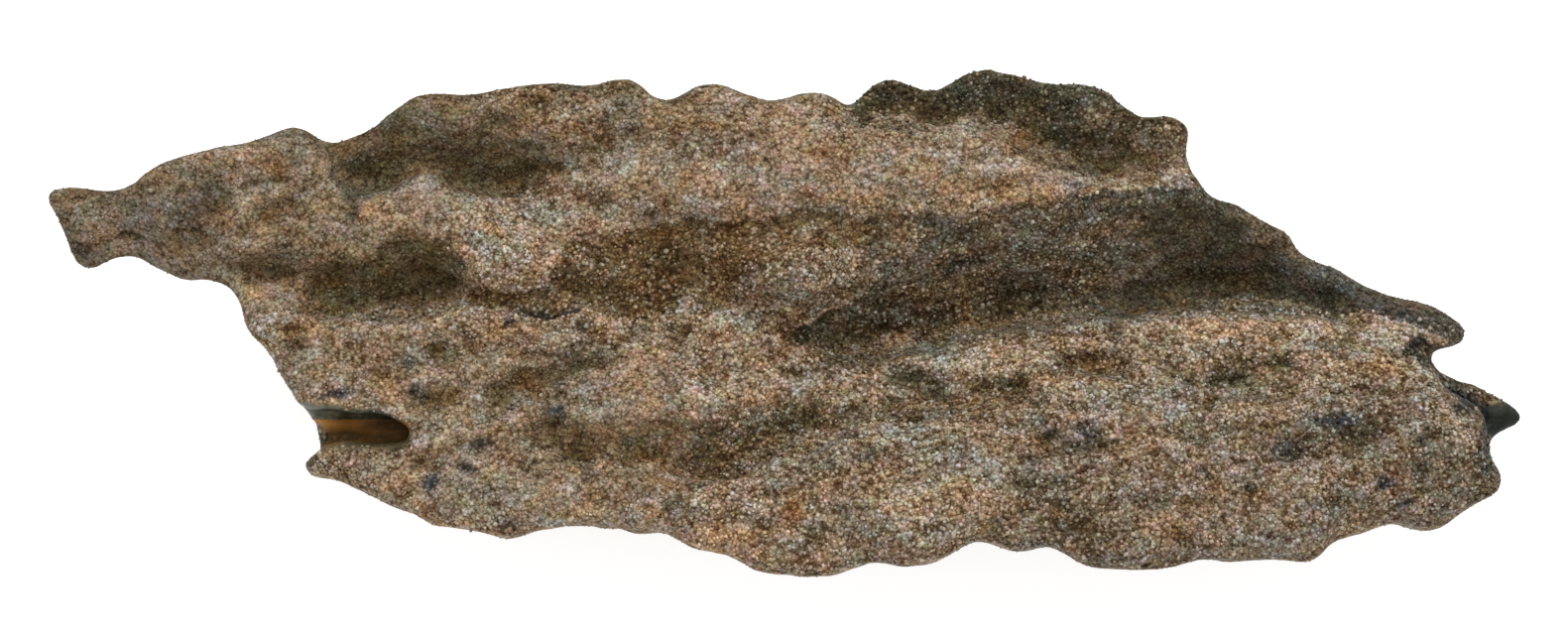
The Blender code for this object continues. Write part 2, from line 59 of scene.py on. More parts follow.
STEEP_RELIEF = 0.3  # share of it that steep sides have
RELIEF_LEVEL = (0.1, 0.6)
SUNK_LEVEL = (0.3, 0.7)  # for stained folds and marks, which are sunk
FOLD_SINK = 0.3  # how deep a fold is sunk under a full stain and its painted shade

# Where each noise starts, so that no two are alike.
PATCHES_START = 1.7
UNEVEN_START = 11.0
BEND_X_START = 5.3
BEND_Y_START = 9.7
BLOTCH_START = 2.2
HOLLOW_START = 7.0
LAYER_STEP = 3.1  # from one layer of a noise to the next

# ---- dirt and painted shade in hollows, and painted shade on steep sides ----
FINE_STEPS = 8  # rounds of averaging: a hollow is what lies under the averaged surface
WIDE_STEPS = 120
WIDE_SHARE = 0.35  # how much a wide hollow counts beside a fine one
HOLLOW_NOISE = (1.2, 0.03)  # wavelength and size of the bends in its edge
HOLLOW_DEPTH = (0.02, 0.24)
HOLLOW_DIRT_AND_SHADE = 0.65  # how dark a full hollow is: brown dirt and painted shade
UNDERSIDE_SHADE = 0.15  # and how much darker it is on the back, where it faces down: painted shade
BACK_SLOPE = (0.1, -0.4)
HOLLOW_WEIGHT = 0.4  # how much its brown counts in the tint
SIDE_LEVEL = (0.72, 0.25)
SIDE_SHADE = 0.3  # painted shade on a steep side that faces away from the wing
WING_SIDE_SHADE = 0.4  # and how much more painted shade the other sides have
WING_SIDE = (-0.6, 0.1)  # the Y of a side's normal: the wing lies towards +Y

# ---- the grains ----
GRAIN_SIZE = 0.115  # mean radius
GRAIN_SPREAD = 0.3  # of the radius, as a share
GRAIN_RANGE = (0.07, 0.2)  # the smallest and the largest radius
GRAIN_SHAPE = (0.8, 1.3)  # an axis's length, as a share of the radius
GRAIN_PIECES = 4
GRAINS_A_PIECE = 24200
SEED = 11
BARE = 1.1  # how surely glass and pits are bare of grains: altogether from 1 / 1.1 of either
BACK_BARE = 0.45  # share of the seats on the back that stay empty
BACK_FROM = -0.3  # the slope below which a seat is on the back
SEAT_SLOPE = 0.1  # a face with more slope than this has a seat in its middle too
SEAT_HEIGHT = 0.02  # the lowest seat over the ground
STRAY = 0.07  # how far a grain strays from its seat
EDGE_STRAY = 0.05  # how much less it does on an edge
SUNK = 0.25  # how deep its middle lies in the crust, as a share of the radius
HELD_SUNK = 0.6  # how much deeper it lies on an edge or in fused sand, in the same share
FUSED_HOLD = 0.6  # how well fused sand holds it, beside an edge's 1
SUNK_SPREAD = 0.04  # how much higher it may lie at random
EDGE_STEPS = 8  # rounds of averaging that spread an edge from the steep walls
EDGE_WALLS = 0.15  # the slope below which a place is such a wall
EDGE_SHARE = (0.04, 0.2)
EDGE_LEVEL = (0.85, 0.5)
GRAIN_IN_SQUARE = 0.42  # its half width in its square of the map

# ---- the bore's middle line: x, y, z; its lining is glass ----
BORE = (
    (-34.1, -7.2, 9.6), (-28.1, -6.8, 9.4), (-20.1, -6.6, 9.0), (-8.1, -7.0, 8.6), (5.9, -7.2, 8.6),
    (19.9, -6.6, 8.8), (31.9, -6.0, 8.6), (39.9, -5.4, 8.2), (47.9, -5.2, 8.0),
)
BORE_LINING = (2.5, 2.15)  # distances from the middle line at which the lining ends and is whole
BORE_FLATTENING = 0.8
SLOT_BOX = ((-29.6, -22.2), (-7.8, -4.7))  # where the bore lies open: its X and its Y
SLOT_FLOOR = 7.5
SLOT_WALLS = (0.75, 0.55)  # their level
# The glass tongue at the broken end, from above.
GLASS_TIP = ((42.2, -4.9), (43.3, -4.9), (45.5, -4.6), (45.5, -7.4), (42.2, -7.0))
TIP_EDGE = 0.15

# ---- what stains the crust, and the shade painted on it ----
# Tints are places from 0 to 1 along one ramp of colours.
SLATE, OLIVE, OLIVE_MOSS, MOSS, BROWN, RUST = 0.0, 0.3, 0.45, 0.5, 0.7, 1.0
WANDER = ((1.8, 0.30), (0.9, 0.22), (0.5, 0.10))  # wavelength and size of the bends in the edges of stains, painted shade and painted highlights
BLOTCHES = (2.6, 1.4, 1.4)  # wavelength of the stronger and weaker places of a stain and its painted shade
BLOTCH_STRENGTH = 0.3
BLOTCH_MOST = 1.15  # the strongest place, beside the fold's own 1
STAIN_AND_SHADE_SLOPE = (-0.6, -0.1)  # stains and painted shade reach round the edge and end on the back
PALE_AND_LIT_SLOPE = (-0.2, 0.2)  # pale sand and painted highlights end on the edge
CLEAN_EDGE = 0.4

# The furrow's lower lip, from the broken end inwards.
FURROW_LIP = (
    (42.4, -0.8), (40.4, -0.9), (39.2, -0.7), (37.8, -0.3), (36.4, 0.4), (35.2, 0.6), (34.0, 0.4),
    (32.0, 1.0), (28.4, 1.6), (24.0, 1.4),
)

# Stained folds, darkened by stains and by painted shade, seen from above: strength, tint, width of the lower
# and of the upper edge, and the outline, clockwise.
WING_FOLDS = (
    (0.72, OLIVE_MOSS, 0.4, 1.4, (
        (-28.0, 10.6), (-27.4, 13.0), (-24.6, 13.6), (-22.8, 11.6), (-19.5, 11.2), (-16.0, 10.6),
        (-12.2, 10.1), (-11.9, 9.2), (-15.6, 8.8), (-16.4, 8.0), (-19.0, 8.0), (-21.4, 9.4), (-22.8, 9.3),
        (-24.2, 7.9), (-26.2, 8.3), (-27.3, 9.6),
    )),
    (0.5, MOSS, 0.6, 0.8, (
        (-26.4, 11.4), (-25.4, 13.4), (-22.4, 15.0), (-11.0, 15.6), (-11.0, 13.6), (-18.0, 11.6),
        (-21.4, 10.8),
    )),
    (0.14, BROWN, 0.8, 0.8, ((-12.0, 10.6), (-12.0, 15.4), (4.0, 14.6), (4.0, 11.4), (-4.0, 11.0))),
    (0.35, BROWN, 0.4, 0.4, ((-11.0, 13.9), (-10.4, 15.6), (-8.6, 15.6), (-8.2, 13.6), (-9.6, 13.3))),
    (1.12, OLIVE, 0.22, 0.4, (
        (3.8, 12.5), (4.2, 15.6), (10.0, 17.0), (16.8, 17.0), (16.4, 12.6), (17.2, 10.6), (15.6, 10.7),
        (14.4, 11.3), (13.6, 12.1), (11.6, 12.4), (9.0, 12.0), (7.2, 12.6), (5.4, 12.7), (4.4, 11.6),
    )),
    (0.92, OLIVE, 0.3, 0.5, (
        (15.6, 16.0), (21.0, 15.4), (21.4, 12.4), (20.6, 9.2), (18.4, 9.2), (16.2, 10.6),
    )),
    (0.5, MOSS, 0.3, 0.4, ((20.4, 13.6), (25.6, 13.8), (25.6, 9.9), (23.6, 9.3), (20.8, 9.5))),
    (0.8, OLIVE, 0.15, 0.3, ((21.2, 12.0), (21.4, 13.4), (25.2, 13.4), (24.9, 11.3), (23.6, 11.7))),
)
MAIN_FOLDS = (
    (0.5, BROWN, 0.5, 0.5, (
        (-34.4, 4.2), (-31.4, 4.4), (-28.8, 4.6), (-28.6, 3.2), (-31.4, 2.7), (-33.6, 3.0),
    )),
    (0.88, MOSS, 0.25, 0.7, (
        (-29.2, 2.6), (-27.4, 3.7), (-25.0, 4.2), (-23.4, 5.1), (-20.4, 5.0), (-19.5, 3.2), (-20.4, 1.9),
        (-23.6, 1.2), (-25.4, 1.1), (-26.8, 0.5), (-28.8, 1.0),
    )),
    (0.75, BROWN, 0.2, 0.3, ((-19.6, 1.9), (-13.0, 2.0), (-12.6, 1.2), (-16.0, 1.0), (-19.2, 1.1))),
    (0.85, BROWN, 0.3, 0.3, (
        (-14.4, 3.0), (-12.6, 5.2), (-9.0, 5.5), (-7.0, 6.0), (-1.8, 6.1), (0.4, 6.8), (4.8, 6.3),
        (5.0, 4.6), (0.4, 4.1), (-1.8, 3.8), (-2.8, 2.4), (-6.0, 2.4), (-6.8, 0.5), (-9.4, 0.2),
        (-12.8, 1.3),
    )),
    (0.6, OLIVE, 0.1, 0.4, (
        (4.8, 6.5), (12.6, 6.6), (14.2, 7.3), (19.0, 7.7), (25.2, 7.9), (27.4, 7.6), (27.4, 1.4),
        (23.8, 1.4), (20.4, 0.4), (17.4, 1.1), (13.8, 0.3), (11.4, 0.1), (8.6, -0.9), (5.2, -0.5),
        (2.6, -1.3), (0.8, -0.7), (3.6, 1.2), (4.6, 4.0),
    )),
    (0.8, SLATE, 0.1, 0.1, ((17.0, 7.8), (21.0, 8.0), (25.4, 8.2), (25.2, 7.8), (21.0, 7.6), (17.0, 7.4))),
    (0.66, SLATE, 0.1, 0.9, (
        (19.0, 2.4), (23.4, 3.0), (28.0, 4.2), (33.0, 3.2), (38.0, 2.4), (42.4, 0.8), *FURROW_LIP,
        (20.4, 0.4), (18.2, 0.9),
    )),
    (0.68, OLIVE, 0.1, 1.2, (
        (21.0, 6.6), (25.6, 8.8), (29.0, 8.6), (33.0, 7.0), (36.0, 5.0), (40.0, 3.4), *FURROW_LIP,
    )),
)
BELLY_FOLDS = (
    (0.16, BROWN, 1.2, 1.0, ((0.0, -7.0), (4.0, -6.8), (12.0, -5.8), (13.0, -8.0), (6.0, -9.4), (0.0, -9.4))),
    (0.12, SLATE, 1.5, 1.5, (
        (-26.0, -3.0), (-10.0, -3.0), (8.0, -3.6), (6.0, -9.0), (-10.0, -10.0), (-24.0, -9.0),
    )),
    (0.6, OLIVE, 0.15, 0.4, (
        (-29.4, -6.5), (-26.5, -6.5), (-24.0, -6.9), (-22.3, -7.0), (-22.5, -7.7), (-29.0, -7.6),
    )),
    (0.23, SLATE, 2.5, 2.5, ((10.0, -5.5), (42.0, -2.5), (46.0, -12.0), (32.0, -17.0), (16.0, -17.0))),
    (0.68, BROWN, 0.4, 0.5, (
        (-14.8, -6.0), (-9.0, -5.7), (-2.6, -5.7), (1.2, -4.6), (5.9, -5.2), (4.4, -6.3), (1.6, -6.6),
        (-1.4, -7.1), (-3.4, -8.5), (-7.4, -8.4), (-13.2, -7.9),
    )),
    (0.75, OLIVE, 0.3, 0.4, ((5.6, -2.5), (7.8, -2.4), (10.4, -4.4), (9.6, -5.0), (6.4, -3.8))),
    (0.55, MOSS, 0.4, 0.4, ((10.4, -3.4), (14.2, -3.3), (14.6, -4.1), (11.0, -4.2))),
    (0.75, MOSS, 0.4, 0.4, ((16.0, -1.8), (20.8, -2.0), (20.6, -2.8), (16.4, -2.8))),
    (0.35, BROWN, 0.5, 0.5, ((26.0, -1.2), (30.6, -1.8), (30.2, -3.4), (25.2, -3.8))),
    (0.35, BROWN, 0.3, 0.5, ((20.6, -5.8), (25.0, -5.9), (37.0, -5.8), (36.0, -6.6), (26.0, -6.6))),
    (0.4, OLIVE, 0.5, 0.6, ((36.6, -8.6), (41.6, -8.4), (42.0, -9.6), (37.2, -9.8))),
)
TAIL_FOLDS = (
    (0.14, SLATE, 1.5, 1.5, (
        (-41.0, 10.0), (-34.0, 11.5), (-29.0, 12.5), (-28.6, 5.0), (-32.0, 2.4), (-40.0, 3.4),
    )),
    (0.22, SLATE, 0.8, 0.8, (
        (-45.6, 9.0), (-38.6, 9.6), (-33.8, 6.0), (-34.0, 2.2), (-42.0, 2.4), (-45.0, 4.0),
    )),
    (0.45, BROWN, 0.4, 0.4, ((-44.6, 8.4), (-38.8, 8.4), (-38.6, 6.8), (-43.8, 6.9))),
    (0.55, OLIVE, 0.5, 0.4, ((-43.4, 4.8), (-41.2, 4.6), (-41.0, 3.6), (-42.2, 2.8), (-43.4, 3.6))),
    (0.4, BROWN, 0.5, 0.5, ((-37.8, 5.3), (-34.4, 5.0), (-34.4, 4.2), (-37.2, 4.3))),
)
BROKEN_EDGES = (
    (0.85, OLIVE, 0.2, 0.15, (
        (37.2, -1.3), (38.0, -1.0), (39.2, -1.4), (40.0, -2.6), (41.4, -3.4), (40.8, -4.3), (39.4, -3.4),
        (38.2, -2.3), (37.2, -1.9),
    )),
    (0.5, MOSS, 0.3, 0.3, (
        (40.2, -3.8), (42.2, -3.4), (43.6, -4.6), (43.0, -5.2), (41.8, -5.2), (40.6, -4.8),
    )),
    # painted shadow: the gap between the near wall's broken edge and the glass tongue
    (0.9, SLATE, 0.12, 0.12, ((41.9, -4.8), (42.5, -4.8), (42.6, -8.8), (42.0, -8.9), (41.8, -7.0))),
    (0.5, MOSS, 0.3, 0.3, ((41.6, -8.4), (42.8, -8.2), (44.6, -10.4), (41.0, -10.6), (41.0, -9.2))),
)
STAINED_AND_SHADED = WING_FOLDS + MAIN_FOLDS + BELLY_FOLDS + TAIL_FOLDS + BROKEN_EDGES

# Clean lumps that stand out of the stained folds, kept free of their stain and painted shade: strength and
# outline.
CLEAN = (
    (0.5, (
        (-1.0, 4.4), (-0.6, 5.4), (1.2, 5.9), (2.2, 4.7), (4.4, 4.3), (5.6, 2.6), (4.2, 1.0), (1.2, 0.4),
        (-1.8, 0.6), (-1.2, 2.6),
    )),
    (0.5, ((17.6, 13.0), (19.8, 13.4), (19.6, 12.0), (18.2, 11.9))),
)

# Where the sand is pale, and painted highlights on lips that face the lamp: strength, width of the lower and
# of the upper edge, and outline.
PALE_AND_LIT = (
    (0.7, 0.15, 0.15, ((4.4, -0.9), (7.4, -0.9), (8.6, -1.4), (7.4, -1.6), (4.6, -1.5))),
    # a painted highlight along the furrow's lower lip, which faces the lamp
    (0.6, 0.9, 0.1, (
        (8.6, -1.1), (11.4, -0.1), (13.8, 0.1), (17.4, 0.9), (20.4, 0.2), (23.8, 1.2), (28.4, 1.4),
        (32.0, 0.8), (34.0, 0.2), (35.6, 0.2), (37.0, -0.4), (36.6, -1.4), (35.0, -1.0), (28.0, 0.0),
        (22.0, -0.4), (14.0, -1.0), (9.0, -2.2),
    )),
    (0.2, 0.15, 0.5, ((16.6, 8.2), (17.6, 9.2), (21.0, 9.4), (24.6, 9.9), (25.6, 8.3), (21.0, 7.9))),
    (0.3, 0.8, 0.8, ((-8.0, 7.2), (-6.0, 9.4), (4.0, 9.8), (12.0, 9.8), (14.0, 8.2), (-6.0, 6.8))),
    (0.6, 0.8, 1.0, ((-20.2, 3.8), (-19.0, 5.6), (-15.0, 6.2), (-13.4, 4.6), (-14.2, 2.2), (-18.6, 2.0))),
    # a painted highlight on a crack's upper lip
    (1.8, 0.12, 0.15, (
        (-16.3, 1.2), (-16.0, 1.5), (-14.6, 1.7), (-12.9, 1.8), (-12.8, 1.4), (-14.4, 1.3), (-15.4, 1.1),
    )),
    (0.6, 0.2, 0.2, (
        (-25.6, -5.3), (-24.8, -5.0), (-22.4, -5.2), (-22.8, -5.9), (-24.4, -5.9), (-25.2, -5.8),
    )),
)
# Where the grains lie deep in the glass and the crust is smooth: share, widths of both edges, and outline.
FUSED = (
    (0.35, 0.5, 0.5, ((3.0, 12.2), (3.0, 17.6), (22.0, 15.6), (22.0, 10.0), (16.0, 10.5), (12.0, 12.2))),
    (0.6, 1.2, 1.2, (
        (-14.0, 5.0), (-12.0, 15.0), (4.0, 14.0), (18.0, 12.0), (24.0, 9.0), (16.0, 7.4), (4.0, 6.4),
    )),
    (1.0, 1.6, 1.6, (
        (-47.0, 2.0), (-47.0, 13.0), (-28.0, 14.6), (-20.0, 14.0), (-13.0, 12.0), (-13.0, 9.0),
        (-21.0, 6.4), (-19.6, 1.8), (-31.0, 1.0),
    )),
    (0.85, 0.15, 1.6, (
        (22.0, 7.0), (30.0, 9.0), (42.0, 2.0), (42.4, -0.6), (40.6, -0.2), (38.4, 0.2), (35.6, 0.6),
        (34.0, 0.4), (32.0, 1.0), (28.4, 1.6), (24.0, 1.4), (20.4, 0.4), (19.0, 0.8), (20.0, 3.0),
    )),
    (0.6, 1.6, 1.6, ((-31.0, 0.6), (-8.0, -1.0), (-4.0, -8.0), (-8.0, -12.5), (-24.0, -11.0), (-29.0, -6.0))),
)

MARK_STRENGTH = 1.7
MARK_WEIGHT = 2  # how much a mark's tint counts beside a fold's
MARK_REACH = 2.4  # how far it reaches, in half lengths and half widths
MARK_FALL = (0.6, 1.5)  # how it fades: rate and power
PIT_DEPTH = (0.6, 1.2)  # depth to half width: where a mark starts to be a pit, and is one altogether
PIT_SHADE_STRENGTH = 0.75
# painted shade: the near black of a pit
PIT_SHADE_COLOUR = (0.012, 0.012, 0.009, 1)

# Marks and pits, some of them painted shadow in a crack and painted shade in pits: x, y, half length, half
# width, strength, tint and depth.
MARKS = (
    (-36.4, 7.9, 0.30, 0.25, 0.9, BROWN, 0.25), (-35.5, 7.2, 1.10, 0.80, 0.35, SLATE, 0.0),
    (-32.6, 5.4, 0.60, 0.50, 0.35, SLATE, 0.0), (-29.5, -0.6, 0.80, 0.90, 0.45, BROWN, 0.1),
    (-26.2, 7.0, 0.40, 0.90, 0.50, OLIVE, 0.1), (-30.3, 9.2, 0.90, 0.40, 0.30, RUST, 0.0),
    (-19.8, 13.0, 1.10, 0.50, 0.40, BROWN, 0.0), (-14.7, 13.5, 0.45, 0.45, 0.55, BROWN, 0.1),
    (-12.7, 12.7, 0.25, 0.25, 0.60, OLIVE, 0.2), (-9.6, 14.2, 0.90, 0.50, 0.40, BROWN, 0.0),
    (-5.9, 13.4, 0.60, 0.80, 0.40, BROWN, 0.0), (-11.3, 11.2, 0.60, 0.40, 0.40, BROWN, 0.1),
    (-7.4, 7.3, 0.35, 0.30, 0.80, BROWN, 0.2), (-7.1, 11.0, 0.40, 0.30, 0.40, BROWN, 0.1),
    # the slate marks from here to y -0.3, near x -17 to -12, are painted shadow in a crack under its lit lip
    (-14.4, 0.75, 0.45, 0.24, 1.00, SLATE, 0.6), (-15.5, 0.65, 0.70, 0.18, 1.00, SLATE, 0.3),
    (-13.2, 0.75, 0.80, 0.20, 1.00, SLATE, 0.3), (-16.7, 0.0, 0.30, 0.24, 0.80, SLATE, 0.3),
    (-12.4, -0.3, 0.40, 0.28, 0.45, SLATE, 0.1), (38.1, -1.2, 0.50, 0.22, 0.90, SLATE, 0.3),
    (-6.4, -0.5, 0.60, 0.50, 0.70, BROWN, 0.35), (-11.2, 7.4, 0.60, 0.50, 0.30, SLATE, 0.0),
    (1.0, -0.8, 0.50, 0.40, 0.60, OLIVE, 0.35), (4.4, -0.4, 0.80, 0.70, 0.45, BROWN, 0.3),
    (10.8, 0.6, 0.35, 0.90, 0.45, RUST, 0.1), (10.6, 3.4, 0.70, 0.40, 0.40, SLATE, 0.1),
    (17.5, 11.4, 0.35, 0.35, 1.00, OLIVE, 0.35), (17.8, 8.4, 1.00, 0.25, 0.50, SLATE, 0.15),
    (14.1, 10.8, 0.60, 0.50, 0.70, RUST, 0.0), (19.7, -0.5, 0.50, 0.28, 0.75, OLIVE, 0.25),
    (14.2, -1.0, 0.35, 0.25, 0.50, BROWN, 0.1), (24.6, 1.2, 0.45, 0.25, 0.60, OLIVE, 0.15),
    (28.5, 1.2, 0.35, 0.30, 0.60, OLIVE, 0.2), (33.9, -0.9, 0.35, 0.28, 0.60, OLIVE, 0.15),
    (32.8, -1.4, 0.90, 0.40, 0.45, OLIVE, 0.1), (36.2, -2.4, 0.90, 0.60, 0.35, RUST, 0.1),
    (37.4, 0.4, 0.50, 0.30, 0.60, SLATE, 0.1), (41.0, -4.8, 0.65, 0.50, 1.00, SLATE, 0.6),
    (23.2, -2.9, 0.80, 0.45, 0.45, BROWN, 0.15), (29.8, -2.6, 0.70, 0.50, 0.45, OLIVE, 0.15),
    (26.5, -3.5, 0.90, 0.45, 0.70, OLIVE, 0.2), (25.2, -4.7, 0.35, 0.28, 0.75, BROWN, 0.25),
    (30.1, -7.6, 0.90, 0.60, 0.85, SLATE, 0.25), (32.9, -5.7, 1.50, 0.60, 1.00, SLATE, 0.2),
    (33.2, -6.5, 0.80, 0.40, 0.55, OLIVE, 0.2), (35.0, -6.6, 0.60, 0.35, 0.50, OLIVE, 0.1),
    (25.1, -8.9, 0.40, 0.32, 0.70, OLIVE, 0.25), (27.7, -9.9, 0.35, 0.32, 0.60, SLATE, 0.2),
    (23.1, -12.6, 0.80, 0.50, 0.35, BROWN, 0.1), (33.0, -10.6, 0.90, 0.50, 0.35, BROWN, 0.1),
    (37.1, -10.9, 0.50, 0.32, 0.65, SLATE, 0.2), (20.6, -12.2, 0.50, 0.50, 0.40, BROWN, 0.1),
    (-20.9, -1.6, 0.40, 0.50, 0.80, BROWN, 0.3), (-22.2, -4.2, 0.60, 0.50, 0.80, SLATE, 0.15),
    (-20.8, -4.3, 1.50, 0.45, 0.45, BROWN, 0.15), (-17.4, -4.4, 0.50, 0.60, 0.50, BROWN, 0.2),
    (-15.8, -3.3, 0.90, 0.50, 0.40, BROWN, 0.1), (-12.6, -2.5, 0.50, 0.60, 0.50, OLIVE, 0.1),
    (-13.6, -3.6, 0.30, 0.50, 0.45, OLIVE, 0.1), (-18.3, -7.1, 0.80, 0.38, 0.85, SLATE, 0.2),
    (-19.5, -8.5, 0.50, 0.45, 0.80, SLATE, 0.15), (-21.3, -9.4, 0.50, 0.40, 0.70, SLATE, 0.1),
    (-14.8, -9.0, 0.28, 0.30, 0.60, BROWN, 0.15), (-12.1, -8.8, 0.35, 0.70, 0.45, SLATE, 0.15),
    (-13.9, -5.9, 0.45, 0.30, 0.45, OLIVE, 0.1), (-12.6, -7.9, 0.70, 0.40, 0.55, OLIVE, 0.2),
    (-9.2, -7.2, 0.60, 0.32, 0.60, SLATE, 0.2), (-16.6, -12.2, 0.60, 0.45, 0.45, SLATE, 0.1),
    (-22.8, -2.2, 0.50, 0.40, 0.50, SLATE, 0.1), (-14.0, -5.3, 0.50, 0.35, 0.60, SLATE, 0.1),
    (35.9, -9.7, 0.60, 0.40, 0.60, SLATE, 0.1), (38.3, -6.8, 0.70, 0.40, 0.50, OLIVE, 0.1),
    (-24.2, -6.1, 0.90, 0.20, 0.90, BROWN, 0.0), (-22.8, -6.6, 0.25, 0.60, 0.60, BROWN, 0.0),
    (-27.2, -6.9, 1.10, 0.40, 0.30, SLATE, 0.0), (-28.9, -8.4, 0.35, 0.50, 0.55, OLIVE, 0.0),
    (-27.2, -4.3, 1.30, 0.20, 0.60, SLATE, 0.15),
    (-2.3, -1.9, 0.80, 0.60, 0.40, BROWN, 0.15), (-4.8, -2.6, 0.90, 0.30, 0.30, BROWN, 0.1),
    (-5.4, -10.0, 0.50, 0.50, 0.40, BROWN, 0.1), (-6.8, -11.1, 0.60, 0.50, 0.40, OLIVE, 0.1),
    (0.3, -11.3, 0.70, 0.45, 0.50, RUST, 0.0), (2.0, -12.6, 1.10, 0.60, 0.25, OLIVE, 0.0),
    (4.8, -7.9, 0.80, 0.28, 0.40, SLATE, 0.1), (7.3, -3.6, 0.60, 0.50, 0.50, OLIVE, 0.35),
    (14.1, -2.7, 0.35, 0.28, 0.70, BROWN, 0.2), (13.9, -3.8, 0.70, 0.45, 0.40, BROWN, 0.2),
    (15.7, -6.7, 0.32, 0.28, 1.00, OLIVE, 0.3), (15.2, -5.8, 0.35, 0.25, 0.50, OLIVE, 0.15),
    (18.1, -6.5, 0.80, 0.38, 0.90, SLATE, 0.2), (14.6, -8.1, 0.50, 0.35, 0.45, OLIVE, 0.15),
    (17.2, -9.5, 0.40, 0.38, 0.75, BROWN, 0.25), (16.1, -9.4, 0.45, 0.32, 0.40, OLIVE, 0.1),
    (16.4, -10.9, 0.30, 0.28, 0.50, OLIVE, 0.15), (17.7, -10.8, 0.28, 0.28, 0.60, BROWN, 0.15),
    (17.7, -12.1, 0.80, 0.35, 0.45, BROWN, 0.1), (8.6, -12.4, 0.28, 0.25, 0.60, BROWN, 0.2),
    (14.1, -11.5, 0.25, 0.25, 0.50, BROWN, 0.15), (12.4, -11.8, 0.30, 0.25, 0.40, OLIVE, 0.1),
)

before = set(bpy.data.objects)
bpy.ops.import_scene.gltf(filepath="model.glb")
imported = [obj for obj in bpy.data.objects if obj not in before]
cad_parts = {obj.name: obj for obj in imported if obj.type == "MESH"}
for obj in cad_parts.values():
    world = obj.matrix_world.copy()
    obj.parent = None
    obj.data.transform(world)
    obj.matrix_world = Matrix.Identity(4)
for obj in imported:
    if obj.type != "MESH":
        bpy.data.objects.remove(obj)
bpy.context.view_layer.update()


# ---------------------------------------------------------------- helpers


def places(mesh):
    """A mesh's points."""
    found = np.empty(len(mesh.vertices) * 3, np.float32)
    mesh.vertices.foreach_get("co", found)
    return found.reshape(-1, 3).astype(float) / MM


def normals_of(mesh):
    found = np.empty(len(mesh.vertices) * 3, np.float32)
    mesh.vertex_normals.foreach_get("vector", found)
    return found.reshape(-1, 3).astype(float)


def corner_points(mesh):
    """The number of the point at every face corner."""
    found = np.empty(len(mesh.loops), np.int32)
    mesh.loops.foreach_get("vertex_index", found)
    return found


def move_to(mesh, points):
    mesh.vertices.foreach_set("co", (points * MM).astype(np.float32).ravel())
    mesh.update()


def smooth_step(t):
    t = np.clip(t, 0, 1)
    return t * t * (3 - 2 * t)


def ramp(value, low, high):
    """0 at low and 1 at high, smooth between. It falls if low is above high."""
    return smooth_step((value - low) / (high - low))


def field(points, scale, start):
    """Smooth noise from about -1 to 1. scale is the wavelength, one number or one for each axis."""
    moved = points / np.asarray(scale, float) + start
    return np.array([noise.noise(Vector(p)) for p in moved])


def share_inside(x, y, outline, lower_edge, upper_edge):
    """1 inside a clockwise outline and 0 outside it, over an edge with its own width above and below."""
    inside = np.zeros(len(x), bool)
    nearest = np.full(len(x), np.inf)
    width = np.full(len(x), upper_edge)
    for (x0, y0), (x1, y1) in zip(outline, outline[1:] + outline[:1]):
        along_x, along_y = x1 - x0, y1 - y0
        part = ((x - x0) * along_x + (y - y0) * along_y) / (along_x**2 + along_y**2)
        part = np.clip(part, 0, 1)
        away = np.hypot(x - x0 - part * along_x, y - y0 - part * along_y)
        width = np.where(away < nearest, upper_edge if along_x > 0 else lower_edge, width)
        nearest = np.minimum(nearest, away)
        if along_y:
            inside ^= ((y0 > y) != (y1 > y)) & (x < x0 + (y - y0) * along_x / along_y)
    return smooth_step(0.5 + np.where(inside, nearest, -nearest) / (2 * width))


class Spreading:
    """Averages values over a mesh's neighbouring points."""

    def __init__(self, mesh):
        edges = np.empty(len(mesh.edges) * 2, np.int32)
        mesh.edges.foreach_get("vertices", edges)
        self.a, self.b = edges.reshape(-1, 2).T
        self.count = len(mesh.vertices)
        self.degree = np.bincount(self.a, minlength=self.count) + np.bincount(self.b, minlength=self.count)

    def once(self, values):
        total = np.bincount(self.a, values[self.b], self.count)
        total += np.bincount(self.b, values[self.a], self.count)
        return total / np.maximum(self.degree, 1)

    def times(self, values, steps):
        if values.ndim > 1:
            return np.stack([self.times(column, steps) for column in values.T], 1)
        for _ in range(steps):
            values = values + SPREAD_SHARE * (self.once(values) - values)
        return values


def set_map(mesh, corners):
    """The map over the surface: U and V of every face corner."""
    layer = mesh.uv_layers.new(name=BAKE_MAP)
    layer.uv.foreach_set("vector", np.asarray(corners, np.float32).ravel())


def set_attribute(mesh, name, values):
    layer = mesh.attributes.new(name, "FLOAT", "POINT")
    layer.data.foreach_set("value", np.asarray(values, np.float32))


def shade_smooth(mesh):
    mesh.polygons.foreach_set("use_smooth", np.ones(len(mesh.polygons), bool))


# ---------------------------------------------------------------- the crust


def remeshed(source, spacing):
    """A copy of the source's surface in even squares."""
    item = bpy.data.objects.new("crust", source.data.copy())
    bpy.context.scene.collection.objects.link(item)
    modifier = item.modifiers.new("grid", "REMESH")
    modifier.mode = "VOXEL"
    modifier.voxel_size = spacing * MM
    graph = bpy.context.evaluated_depsgraph_get()
    made = bpy.data.meshes.new_from_object(item.evaluated_get(graph), depsgraph=graph)
    item.modifiers.clear()
    item.data = made
    item.data.materials.clear()
    return item


